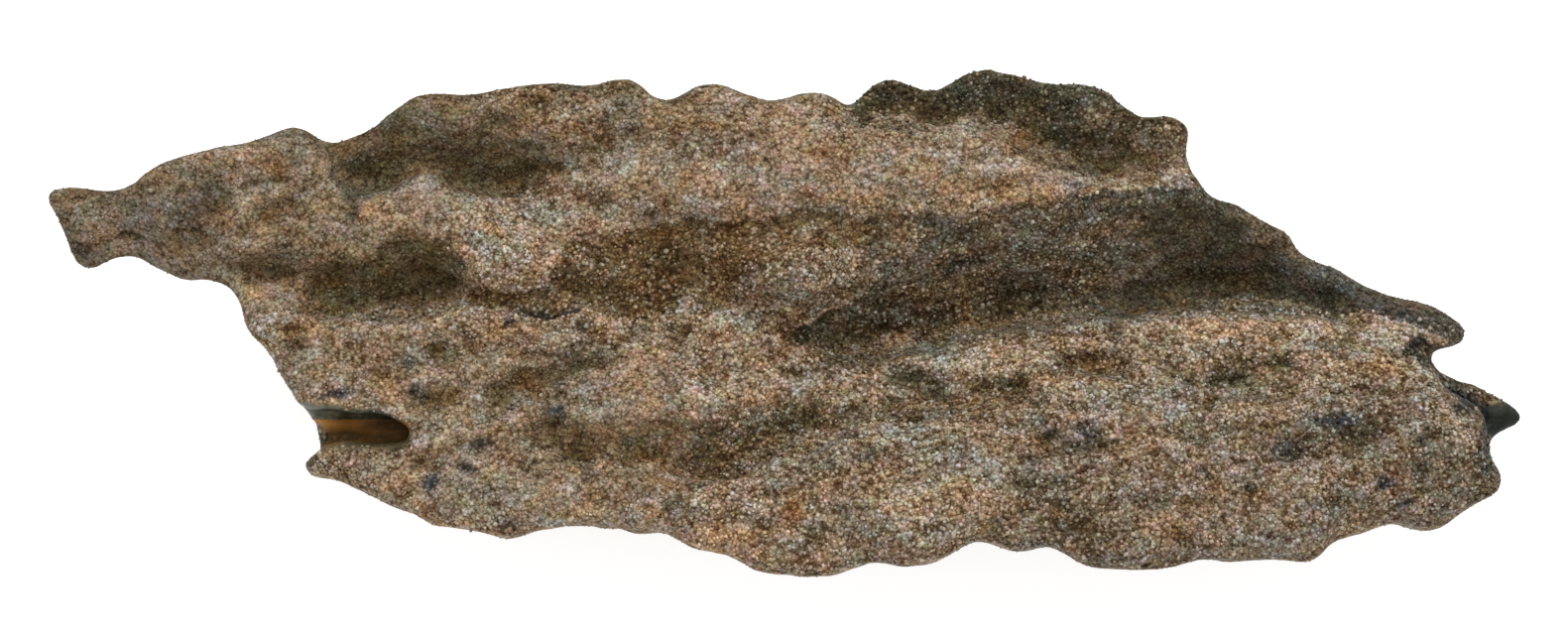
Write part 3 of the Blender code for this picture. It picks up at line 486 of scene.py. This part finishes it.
def glass_share(points, normals):
    """1 where the surface is bare glass: the bore's lining, the slot's broken walls and the glass tongue."""
    x, y, z = points.T
    line = np.array(BORE)
    away_y = y - np.interp(x, line[:, 0], line[:, 1])
    away_z = (z - np.interp(x, line[:, 0], line[:, 2])) / BORE_FLATTENING
    lining = ramp(np.hypot(away_y, away_z), *BORE_LINING)
    (x0, x1), (y0, y1) = SLOT_BOX
    in_slot = (x > x0) & (x < x1) & (y > y0) & (y < y1) & (z > SLOT_FLOOR)
    wall = in_slot * ramp(np.abs(normals[:, 2]), *SLOT_WALLS)
    tip = share_inside(x, y, GLASS_TIP, TIP_EDGE, TIP_EDGE)
    return np.maximum(np.maximum(lining, wall), tip)


def wandering(points):
    """X and Y with small bends, so that the edges of stains, painted shade and painted highlights are never
    smooth.
    """
    x, y = points[:, 0], points[:, 1]
    for k, (scale, size) in enumerate(WANDER):
        x = x + size * field(points, scale, BEND_X_START + k)
        y = y + size * field(points, scale, BEND_Y_START + k)
    return x, y


class StainsAndShade:
    """What stains and shades each point, gathered fold by fold and mark by mark, as seen from above; the
    folds and pits carry painted shade.
    """

    def __init__(self, points):
        count = len(points)
        self.x, self.y = wandering(points)
        self.blotches = np.clip(1 + BLOTCH_STRENGTH * field(points, BLOTCHES, BLOTCH_START), 0, BLOTCH_MOST)
        self.clear = np.ones(count)
        self.weight = np.full(count, TINY)
        self.tints = self.weight * BROWN
        self.depth = np.zeros(count)
        self.pit_shades = np.zeros(count)

    def add_fold(self, strength, tint, lower_edge, upper_edge, outline):
        inside = strength * share_inside(self.x, self.y, outline, lower_edge, upper_edge)
        here = inside * self.blotches
        self.depth = np.maximum(self.depth, FOLD_SINK * inside)
        self.clear *= 1 - np.clip(here, 0, 1)
        self.weight += here
        self.tints += here * tint

    def clean(self, strength, outline):
        inside = share_inside(self.x, self.y, outline, CLEAN_EDGE, CLEAN_EDGE)
        self.clear += (1 - self.clear) * strength * inside

    def add_mark(self, mark_x, mark_y, long, wide, strength, tint, deep):
        x, y = self.x - mark_x, self.y - mark_y
        near = (np.abs(x) < MARK_REACH * long) & (np.abs(y) < MARK_REACH * wide)
        rate, power = MARK_FALL
        spot = np.exp(-rate * ((x[near] / long) ** 2 + (y[near] / wide) ** 2) ** power)
        self.clear[near] *= 1 - min(MARK_STRENGTH * strength, 1) * spot
        self.weight[near] += MARK_WEIGHT * strength * spot
        self.tints[near] += MARK_WEIGHT * strength * spot * tint
        self.depth[near] += deep * spot
        # a deep, narrow mark is a pit, painted near black as shade
        pit_shade = PIT_SHADE_STRENGTH * ramp(deep / wide, *PIT_DEPTH) * spot**2
        self.pit_shades[near] = np.maximum(self.pit_shades[near], pit_shade)


def stains_and_shade(points, normals):
    """Where the stained folds and the marks lie: strength of stain and painted shade, tint, how deep they go,
    and which are pits painted near black.
    """
    found = StainsAndShade(points)
    for fold in STAINED_AND_SHADED:
        found.add_fold(*fold)
    for lump in CLEAN:
        found.clean(*lump)
    for mark in MARKS:
        found.add_mark(*mark)
    seen = ramp(normals[:, 2], *STAIN_AND_SHADE_SLOPE)
    return (1 - found.clear) * seen, found.tints / found.weight, found.depth * seen, found.pit_shades * seen


def shares(points, rows):
    """The most that any of the rows' outlines gives at each point."""
    x, y = wandering(points)
    most = np.zeros(len(points))
    for strength, lower_edge, upper_edge, outline in rows:
        most = np.maximum(most, strength * share_inside(x, y, outline, lower_edge, upper_edge))
    return most


def relief(points, stain_and_shade, glass, level):
    """How far each point moves out: lumps and unevenness, less of them on stains and painted shade, glass and
    steep sides.
    """
    lumpy = ramp(field(points, LUMPY_PATCHES, PATCHES_START), *PATCH_EDGE) * (1 - STAIN_AND_SHADE_CALM * stain_and_shade)
    moves = np.zeros(len(points))
    for k, (scale, height) in enumerate(LUMPS):
        moves += height * lumpy * (2 * np.abs(field(points, scale, LAYER_STEP * k)) - LUMP_MIDDLE)
    for k, (scale, height) in enumerate(UNEVENNESS):
        moves += height * field(points, scale, UNEVEN_START + LAYER_STEP * k)
    share = STEEP_RELIEF + (1 - STEEP_RELIEF) * ramp(level, *RELIEF_LEVEL)
    return moves * ((1 - GLASS_CALM * glass) * share)


def hollows(points, normals, spread):
    """1 in the crust's hollows, where dirt gathers and where shade is painted."""
    fine = np.einsum("ij,ij->i", spread.times(points, FINE_STEPS) - points, normals)
    wide = np.einsum("ij,ij->i", spread.times(points, WIDE_STEPS) - points, normals)
    wavelength, size = HOLLOW_NOISE
    bends = size * field(points, wavelength, HOLLOW_START)
    return ramp(fine + WIDE_SHARE * wide + bends, *HOLLOW_DEPTH)


def dirt_and_shade_of(hollow, normals, level, stain_and_shade, tint):
    """How dark each point is and in what tint: stains with painted shade, brown dirt and painted shade in
    hollows, and olive painted shade on steep sides.
    """
    behind = ramp(normals[:, 2], *BACK_SLOPE)
    # olive painted shade on steep sides, more on those that face the wing
    side_shade = ramp(level, *SIDE_LEVEL) * (SIDE_SHADE + WING_SIDE_SHADE * ramp(normals[:, 1], *WING_SIDE))
    # how dark each point is: stains, dirt and painted shade together
    dirt_and_shade = 1 - (1 - stain_and_shade) * (1 - (HOLLOW_DIRT_AND_SHADE + UNDERSIDE_SHADE * behind) * hollow) * (1 - side_shade)
    total = stain_and_shade + HOLLOW_WEIGHT * hollow + side_shade
    mixed = (stain_and_shade * tint + HOLLOW_WEIGHT * hollow * BROWN + side_shade * OLIVE) / np.maximum(total, TINY)
    return dirt_and_shade, mixed


def edge_share(normals, spread):
    """1 where the crust turns down into its steep walls."""
    walls = spread.times((normals[:, 2] < EDGE_WALLS).astype(float), EDGE_STEPS)
    return ramp(walls, *EDGE_SHARE) * ramp(np.abs(normals[:, 2]), *EDGE_LEVEL)


def map_crust(mesh, points):
    """Lays the upper faces out from above in the map's upper half, and the rest in its lower half."""
    ups = np.empty(len(mesh.polygons) * 3, np.float32)
    mesh.polygons.foreach_get("normal", ups)
    above = np.repeat(ups.reshape(-1, 3)[:, 2] > 0, CRUST_CORNERS)
    places_in_map = points[corner_points(mesh), :2] / MAP_SIZE + 0.5
    places_in_map[:, 1] = (places_in_map[:, 1] + above) / 2
    set_map(mesh, places_in_map)


def make_crust():
    """The crust, its points and normals, and the facts about each point that its looks and grains follow."""
    item = remeshed(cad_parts[NODE], SKIN_GRID)
    mesh = item.data
    spread = Spreading(mesh)
    points = spread.times(places(mesh), FACET_STEPS)
    move_to(mesh, points)
    normals = normals_of(mesh)
    glass = glass_share(points, normals)
    stain_and_shade, tint, depth, pit_shades = stains_and_shade(points, normals)
    fused = shares(points, FUSED)
    pale_and_lit = shares(points, PALE_AND_LIT) * ramp(normals[:, 2], *PALE_AND_LIT_SLOPE)
    level = np.abs(spread.times(normals[:, 2], LEVEL_STEPS))
    out = relief(points, stain_and_shade, glass, level) - depth * ramp(level, *SUNK_LEVEL)
    points = points + normals * out[:, None]
    points[:, 2] = np.maximum(points[:, 2], 0.0)
    move_to(mesh, points)
    normals = normals_of(mesh)
    dirt_and_shade, mixed = dirt_and_shade_of(hollows(points, normals, spread), normals, level, stain_and_shade, tint)
    facts = {"glass": glass, "dirt_and_shade": dirt_and_shade, "tint": mixed, "fused": fused, "pale_and_lit": pale_and_lit, "pit_shade": pit_shades}
    for name, values in facts.items():
        set_attribute(mesh, name, values)
    facts["edge"] = edge_share(normals, spread)
    shade_smooth(mesh)
    map_crust(mesh, points)
    return item, points, normals, facts


# ---------------------------------------------------------------- the grains


def turned(rng, count):
    """Random rotations, as matrices."""
    q = rng.normal(size=(count, 4))
    q /= np.linalg.norm(q, axis=1)[:, None]
    w, x, y, z = q.T
    rows = (
        (1 - 2 * (y * y + z * z), 2 * (x * y - z * w), 2 * (x * z + y * w)),
        (2 * (x * y + z * w), 1 - 2 * (x * x + z * z), 2 * (y * z - x * w)),
        (2 * (x * z - y * w), 2 * (y * z + x * w), 1 - 2 * (x * x + y * y)),
    )
    return np.stack([np.stack(row, 1) for row in rows], 1)


# An eight-sided grain before it is stretched and turned: its corners, and its sides, the upper four first.
CORNERS = np.array([(1, 0, 0), (-1, 0, 0), (0, 1, 0), (0, -1, 0), (0, 0, 1), (0, 0, -1)], float)
SIDES = np.array([(0, 2, 4), (2, 1, 4), (1, 3, 4), (3, 0, 4), (2, 0, 5), (1, 2, 5), (3, 1, 5), (0, 3, 5)])
LOWER_SIDES = range(4, 8)


def map_grains(mesh, count):
    """Gives every grain a square of the map: the upper faces in its middle, the lower ones in its corners."""
    row = int(np.ceil(np.sqrt(count)))
    flat = CORNERS[SIDES][:, :, :2].copy()
    for face in LOWER_SIDES:
        flat[face, 2] = flat[face, :2].sum(0)
    flat = 0.5 + GRAIN_IN_SQUARE * flat
    square = np.stack([np.arange(count) % row, np.arange(count) // row], 1)
    set_map(mesh, (flat[None] + square[:, None, None, :]) / row)


def grain_mesh(name, centres, radii, shapes, turns, values):
    """One mesh of many grains, each a rounded eight-sided crystal."""
    count = len(centres)
    corners = CORNERS[None] * shapes[:, None, :]
    corners = np.einsum("nij,nkj->nki", turns, corners)
    corners = corners * radii[:, None, None] + centres[:, None, :]
    corners[..., 2] = np.maximum(corners[..., 2], 0.0)
    mesh = bpy.data.meshes.new(name)
    mesh.vertices.add(count * len(CORNERS))
    move_to(mesh, corners.reshape(-1, 3))
    faces = (SIDES[None] + len(CORNERS) * np.arange(count)[:, None, None]).reshape(-1, 3)
    mesh.loops.add(len(faces) * 3)
    mesh.loops.foreach_set("vertex_index", faces.ravel().astype(np.int32))
    mesh.polygons.add(len(faces))
    mesh.polygons.foreach_set("loop_start", np.arange(0, len(faces) * 3, 3, dtype=np.int32))
    mesh.update(calc_edges=True)
    shade_smooth(mesh)
    map_grains(mesh, count)
    for key, value in values.items():
        set_attribute(mesh, key, np.repeat(value, len(CORNERS)))
    return mesh


def seats(mesh, points, normals, facts):
    """Where grains may sit: at every point of the crust, then in the middle of every face that looks up."""
    quads = corner_points(mesh).reshape(-1, CRUST_CORNERS)
    quads = quads[normals[quads, 2].mean(1) > SEAT_SLOPE]
    points = np.concatenate([points, points[quads].mean(1)])
    facts = {key: np.concatenate([value, value[quads].mean(1)]) for key, value in facts.items()}
    return points, np.concatenate([normals, normals[quads].mean(1)]), facts


def chosen_seats(rng, first, points, normals, facts):
    """Which seats are taken, in random order. The first, at the crust's own points, go before the rest."""
    count = len(points)
    keep = rng.random(count) > BARE * np.maximum(facts["glass"], facts["pit_shade"])
    empty = (normals[:, 2] < BACK_FROM) & (rng.random(count) < BACK_BARE)
    keep &= ~empty & (points[:, 2] > SEAT_HEIGHT)
    more = rng.permutation(np.nonzero(keep[first:])[0] + first)
    chosen = np.concatenate([np.nonzero(keep[:first])[0], more])[: GRAIN_PIECES * GRAINS_A_PIECE]
    rng.shuffle(chosen)
    return chosen


def make_grains(mesh, points, normals, facts, material):
    """The grains, in pieces. Each takes its stain, painted shade and highlight, and its hold from the crust
    under it.
    """
    rng = np.random.default_rng(SEED)
    first = len(points)
    points, normals, facts = seats(mesh, points, normals, facts)
    chosen = chosen_seats(rng, first, points, normals, facts)
    items = []
    for number, group in enumerate(np.array_split(chosen, GRAIN_PIECES)):
        size = len(group)
        radii = GRAIN_SIZE * np.exp(GRAIN_SPREAD * rng.normal(size=size))
        radii = np.clip(radii, *GRAIN_RANGE)
        shapes = rng.uniform(*GRAIN_SHAPE, (size, 3))
        edge = facts["edge"][group]
        held = np.maximum(edge, FUSED_HOLD * facts["fused"][group])
        strays = rng.normal(size=(size, 3)) * (STRAY - EDGE_STRAY * edge)[:, None]
        sunk = (SUNK + HELD_SUNK * held) * radii - rng.uniform(0, SUNK_SPREAD, size) * (1 - edge)
        centres = points[group] + strays - normals[group] * sunk[:, None]
        values = {key: facts[key][group] for key in ("dirt_and_shade", "tint", "fused", "pale_and_lit")}
        values["tone"] = rng.random(size)
        values["hue"] = rng.random(size)
        mesh = grain_mesh(f"sand_grains_{number + 1}", centres, radii, shapes, turned(rng, size), values)
        mesh.materials.append(material)
        item = bpy.data.objects.new(mesh.name, mesh)
        bpy.context.scene.collection.objects.link(item)
        items.append(item)
    return items


# ---------------------------------------------------------------- materials


def srgb(r, g, b):
    """A linear colour from one read as 0 to 255."""
    values = [v / 255 for v in (r, g, b)]
    return (*[v / 12.92 if v <= 0.04045 else ((v + 0.055) / 1.055) ** 2.4 for v in values], 1.0)


def grey(value):
    return (value, value, value, 1.0)


class Nodes:
    """Short ways to build a material's nodes."""

    def __init__(self, name):
        self.material = bpy.data.materials.new(name)
        self.material.use_nodes = True
        self.tree = self.material.node_tree
        self.shader = self.tree.nodes["Principled BSDF"]

    def link(self, source, target):
        if isinstance(source, (int, float, tuple)):
            target.default_value = source
        else:
            self.tree.links.new(source, target)

    def add(self, kind, **settings):
        node = self.tree.nodes.new(kind)
        for key, value in settings.items():
            setattr(node, key, value)
        return node

    def attribute(self, name):
        return self.add("ShaderNodeAttribute", attribute_name=name).outputs["Fac"]

    def place(self):
        """The place in the object's own frame, in metres."""
        return self.add("ShaderNodeTexCoord").outputs["Object"]

    def maths(self, operation, a, b=0.0, c=0.0, clamp=False):
        node = self.add("ShaderNodeMath", operation=operation, use_clamp=clamp)
        for value, socket in zip((a, b, c), node.inputs):
            self.link(value, socket)
        return node.outputs[0]

    def stops(self, factor, colours):
        """A ramp of colours, each with its place from 0 to 1."""
        node = self.add("ShaderNodeValToRGB")
        elements = node.color_ramp.elements
        while len(elements) < len(colours):
            elements.new(0.5)
        for element, (place, colour) in zip(elements, colours):
            element.position = place
            element.color = colour
        self.link(factor, node.inputs[0])
        return node.outputs[0]

    def mix(self, factor, a, b, blend="MIX"):
        """Two colours mixed. The node has sockets for numbers and vectors too, before those for colours."""
        node = self.add("ShaderNodeMix", data_type="RGBA", blend_type=blend)
        self.link(factor, node.inputs[0])
        self.link(a, node.inputs[6])
        self.link(b, node.inputs[7])
        return node.outputs[2]

    def multiplied(self, a, b):
        """One colour multiplied by another."""
        return self.mix(1.0, a, b, "MULTIPLY")

    def noise(self, scale, detail, roughness, stretch=None, shift=0.0):
        """Noise in the object's own frame; scale is in lumps per metre."""
        place = self.place()
        if stretch:
            mapping = self.add("ShaderNodeMapping")
            mapping.inputs["Location"].default_value = (shift, shift, shift)
            mapping.inputs["Scale"].default_value = stretch
            self.link(place, mapping.inputs["Vector"])
            place = mapping.outputs[0]
        node = self.add("ShaderNodeTexNoise")
        self.link(place, node.inputs["Vector"])
        node.inputs["Scale"].default_value = scale
        node.inputs["Detail"].default_value = detail
        node.inputs["Roughness"].default_value = roughness
        return node.outputs["Fac"]

    def drift(self, layers):
        """A sum of noises around zero. Each is shifted by its own amount, so that no two are alike."""
        total = 0.0
        for scale, stretch, strength in layers:
            layer = self.noise(scale, DRIFT_DETAIL, DRIFT_ROUGHNESS, stretch, scale / DRIFT_SHIFT)
            total = self.maths("MULTIPLY_ADD", self.maths("SUBTRACT", layer, 0.5), strength, total)
        return total


SAND = (  # the grains' own colours, from the darkest to the palest
    (0.00, srgb(95, 71, 45)),
    (0.16, srgb(122, 98, 70)),
    (0.36, srgb(149, 128, 102)),
    (0.60, srgb(172, 151, 126)),
    (0.85, srgb(190, 172, 151)),
    (1.00, srgb(209, 195, 176)),
)
YELLOW_TO_BLUE = ((0.0, (1.05, 1.0, 0.72, 1)), (1.0, (0.95, 1.0, 1.28, 1)))  # what tints them
PINK_TO_GREEN = ((0.0, (1.12, 0.94, 1.0, 1)), (1.0, (0.88, 1.06, 1.0, 1)))
# How tone and tints drift from place to place: lumps per metre, stretch and strength.
TONE_DRIFT = ((300.0, (0.5, 1.0, 1.0), 0.6), (1100.0, (0.7, 1.0, 1.0), 0.9), (2600.0, (1.0, 1.0, 1.0), 1.3))
TINT_DRIFT = ((230.0, (0.5, 1.0, 1.0), 0.45), (480.0, (0.7, 1.0, 1.0), 1.2), (1000.0, (0.8, 1.0, 1.0), 0.8))
YELLOW_DRIFT = ((900.0, (0.8, 1.0, 1.0), 1.1), (1900.0, (1.0, 1.0, 1.0), 0.7))
PINK_DRIFT = ((1050.0, (0.8, 1.0, 1.0), 1.1), (2300.0, (1.0, 1.0, 1.0), 1.1))
DRIFT_DETAIL = 1.0
DRIFT_ROUGHNESS = 0.5
DRIFT_SHIFT = 9000  # what a noise's scale is divided by to give its shift
OWN_TONE = 0.9  # how far each grain's tone is its own
FUSED_TONE = -0.7  # and how much less so where the sand is fused
PALE_AND_LIT_TONE = 0.22  # how much paler pale sand and painted highlights are
OWN_YELLOW = 0.1  # how far each grain's tints are its own
OWN_PINK = 0.15
PINK_TURNS = 13.0  # makes a grain's pink differ from its yellow, though one hue gives both
GLINT_FROM = 0.88  # the tone above which a grain is clean quartz, which gives painted glints in the dark folds
GLINT_SHARE = -0.5  # how much less such a grain takes stain and painted shade
GRAIN_ROUGHNESS = ((0.0, grey(0.8)), (0.93, grey(0.75)), (0.97, grey(0.25)))  # by hue: few grains shine
DULL = 0.2  # the specular level of sand and glass
CELLS_PER_METRE = 4600.0  # the crust's own small grains, between the loose ones
# painted shade in the gaps between the crust's small grains
CELL_GAP_SHADE = ((0.35, grey(1.0)), (0.75, (0.35, 0.31, 0.27, 1)))
CELL_RELIEF = 0.0001  # in metres
CRUST_BUMP = 0.7
CRUST_ROUGHNESS = 0.9
GLASS_CHANGE = -0.4  # what glass adds to both
SLOT_WALL_Y = -5.85  # the slot's upper wall lies above this
BROKEN_END_X = 36.0  # and the broken end beyond this
INSIDE_STREAKS = (900.0, 4.0, 0.6, (0.12, 1.0, 1.0))  # noise: lumps per metre, detail, roughness, stretch
WALL_SPECKS = (1500.0, 4.0, 0.65)
TIP_SPECKS = (900.0, 3.0, 0.6)
INSIDE_GLASS = (
    (0.32, srgb(76, 66, 48)),
    (0.44, srgb(134, 112, 76)),
    (0.54, srgb(166, 124, 74)),
    (0.62, srgb(204, 144, 72)),
    (0.72, srgb(124, 104, 76)),
)
WALL_GLASS = ((0.35, srgb(70, 70, 56)), (0.55, srgb(112, 112, 94)), (0.7, srgb(142, 134, 112)))
TIP_GLASS = ((0.35, srgb(20, 23, 17)), (0.55, srgb(31, 35, 26)), (0.7, srgb(46, 48, 39)))
STAIN_AND_SHADE_TINTS = (  # what a full stain with its painted shade leaves of the colour
    (SLATE, (0.15, 0.21, 0.33, 1)),
    (OLIVE, (0.21, 0.24, 0.205, 1)),
    (MOSS, (0.28, 0.27, 0.15, 1)),
    (BROWN, (0.42, 0.33, 0.17, 1)),
    (RUST, (0.66, 0.42, 0.24, 1)),
)


def sand_colour(n, tone, hue):
    """The clean colour of sand of a tone and hue, which drifts, and how strongly the sand is stained and
    darkened by painted shade.
    """
    own_share = n.maths("MULTIPLY_ADD", n.attribute("fused"), FUSED_TONE, OWN_TONE)
    # clean quartz grains keep more of their colour under stains and painted shade: painted glints in the dark
    # folds
    clean = n.maths("MULTIPLY", n.maths("GREATER_THAN", tone, GLINT_FROM), own_share)
    clean = n.maths("MULTIPLY_ADD", clean, GLINT_SHARE, 1.0)
    own = n.maths("MULTIPLY", n.maths("SUBTRACT", tone, 0.5), own_share)
    tone = n.maths("MULTIPLY_ADD", n.attribute("pale_and_lit"), PALE_AND_LIT_TONE, n.maths("ADD", own, n.drift(TONE_DRIFT)))
    colour = n.stops(n.maths("ADD", tone, 0.5, clamp=True), SAND)
    shared = n.maths("ADD", n.drift(TINT_DRIFT), 0.5)
    yellow = n.maths("MULTIPLY_ADD", n.maths("SUBTRACT", hue, 0.5), OWN_YELLOW, n.drift(YELLOW_DRIFT))
    colour = n.multiplied(colour, n.stops(n.maths("ADD", yellow, shared, clamp=True), YELLOW_TO_BLUE))
    pink = n.maths("SUBTRACT", n.maths("FRACT", n.maths("MULTIPLY", hue, PINK_TURNS)), 0.5)
    pink = n.maths("MULTIPLY_ADD", pink, OWN_PINK, n.drift(PINK_DRIFT))
    colour = n.multiplied(colour, n.stops(n.maths("ADD", pink, shared, clamp=True), PINK_TO_GREEN))
    return colour, n.maths("MULTIPLY", n.attribute("dirt_and_shade"), clean)


def stained_and_shaded(n, colour, strength):
    """A colour under its stain and painted shade."""
    return n.mix(strength, colour, n.multiplied(colour, n.stops(n.attribute("tint"), STAIN_AND_SHADE_TINTS)))


def sand_material():
    n = Nodes("sand_grains")
    hue = n.attribute("hue")
    colour, dirt_and_shade = sand_colour(n, n.attribute("tone"), hue)
    n.link(stained_and_shaded(n, colour, dirt_and_shade), n.shader.inputs["Base Color"])
    n.link(n.stops(hue, GRAIN_ROUGHNESS), n.shader.inputs["Roughness"])
    n.shader.inputs["Specular IOR Level"].default_value = DULL
    return n.material


def glass_colour(n):
    """Rusty streaks inside the bore, greyer glass on the slot's upper wall, and the dark broken end."""
    inside = n.stops(n.noise(*INSIDE_STREAKS), INSIDE_GLASS)
    on_wall = n.stops(n.noise(*WALL_SPECKS), WALL_GLASS)
    on_tip = n.stops(n.noise(*TIP_SPECKS), TIP_GLASS)
    place = n.add("ShaderNodeSeparateXYZ")
    n.link(n.place(), place.inputs[0])
    end = n.maths("GREATER_THAN", place.outputs["X"], BROKEN_END_X * MM)
    wall = n.maths("GREATER_THAN", place.outputs["Y"], SLOT_WALL_Y * MM)
    return n.mix(end, n.mix(wall, inside, on_wall), on_tip)


def crust_material():
    n = Nodes("fused_crust")
    cells = n.add("ShaderNodeTexVoronoi", feature="F1")
    cells.inputs["Scale"].default_value = CELLS_PER_METRE
    n.link(n.place(), cells.inputs["Vector"])
    chance = n.add("ShaderNodeSeparateColor")
    n.link(cells.outputs["Color"], chance.inputs[0])
    colour, dirt_and_shade = sand_colour(n, chance.outputs[0], chance.outputs[1])
    # painted shade darkens the gaps between the small grains
    colour = n.multiplied(colour, n.stops(cells.outputs["Distance"], CELL_GAP_SHADE))
    glass = n.attribute("glass")
    colour = stained_and_shaded(n, n.mix(glass, colour, glass_colour(n)), dirt_and_shade)
    # painted shade: pits are painted near black
    n.link(n.mix(n.attribute("pit_shade"), colour, PIT_SHADE_COLOUR), n.shader.inputs["Base Color"])
    n.link(n.maths("MULTIPLY_ADD", glass, GLASS_CHANGE, CRUST_ROUGHNESS), n.shader.inputs["Roughness"])
    n.shader.inputs["Specular IOR Level"].default_value = DULL
    bump = n.add("ShaderNodeBump", invert=True)
    bump.inputs["Distance"].default_value = CELL_RELIEF
    n.link(n.maths("MULTIPLY_ADD", glass, GLASS_CHANGE, CRUST_BUMP), bump.inputs["Strength"])
    n.link(cells.outputs["Distance"], bump.inputs["Height"])
    n.link(bump.outputs[0], n.shader.inputs["Normal"])
    return n.material


# ---------------------------------------------------------------- the studio

LENS = 200
SENSOR_WIDTH = 36
VIEW_WIDTH = 94.35  # how much of the crust's mid height the camera sees across
VIEW_MIDDLE = (-0.18, 0.15)
MID_HEIGHT = 12
FLOOR_SIZE = 3000
FLOOR_DROP = 0.02  # how far it lies under the crust's lowest points, so that no faces coincide
FLOOR_GREY = 0.8
FLOOR_GLOW = 0.6
FLOOR_ROUGHNESS = 0.9
FLOOR_SPECULAR = 0.1
SKY_LIGHT = 0.74
KEY_SIZE = 800
KEY_POWER = 5.6
KEY_TOWARDS = (0.1, 0.75, 0.8)  # where the lamp stands: high up, beyond the wing
KEY_DISTANCE = 900


def place_camera(scene):
    camera = bpy.data.cameras.new("camera")
    camera.lens = LENS
    camera.sensor_width = SENSOR_WIDTH
    eye = bpy.data.objects.new("camera", camera)
    x, y = VIEW_MIDDLE
    eye.location = (x * MM, y * MM, MID_HEIGHT * MM + VIEW_WIDTH * MM * camera.lens / camera.sensor_width)
    scene.collection.objects.link(eye)
    scene.camera = eye


def lay_floor():
    bpy.ops.mesh.primitive_plane_add(size=FLOOR_SIZE * MM, location=(0, 0, -FLOOR_DROP * MM))
    floor = bpy.context.object
    floor.name = "floor"
    n = Nodes("pale_floor")
    n.shader.inputs["Base Color"].default_value = grey(FLOOR_GREY)
    n.shader.inputs["Emission Color"].default_value = grey(1.0)
    n.shader.inputs["Emission Strength"].default_value = FLOOR_GLOW
    n.shader.inputs["Roughness"].default_value = FLOOR_ROUGHNESS
    n.shader.inputs["Specular IOR Level"].default_value = FLOOR_SPECULAR
    floor.data.materials.append(n.material)


def light_scene(scene):
    """An even white sky, and one large lamp."""
    world = bpy.data.worlds.new("studio")
    world.use_nodes = True
    sky = world.node_tree.nodes["Background"]
    sky.inputs["Color"].default_value = grey(1.0)
    sky.inputs["Strength"].default_value = SKY_LIGHT
    scene.world = world
    light = bpy.data.lights.new("key", "AREA")
    light.shape = "DISK"
    light.size = KEY_SIZE * MM
    light.energy = KEY_POWER
    lamp = bpy.data.objects.new("key", light)
    towards = Vector(KEY_TOWARDS).normalized()
    lamp.location = towards * (KEY_DISTANCE * MM)
    lamp.rotation_euler = towards.to_track_quat("Z", "Y").to_euler()
    scene.collection.objects.link(lamp)


def studio():
    scene = bpy.context.scene
    scene.view_settings.view_transform = "Standard"
    place_camera(scene)
    lay_floor()
    light_scene(scene)


# ---------------------------------------------------------------- putting it together

crust, skin, skin_normals, skin_facts = make_crust()
crust.data.materials.append(crust_material())
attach(crust, BODY)
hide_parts(NODE)
for grains in make_grains(crust.data, skin, skin_normals, skin_facts, sand_material()):
    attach(grains, BODY)
studio()
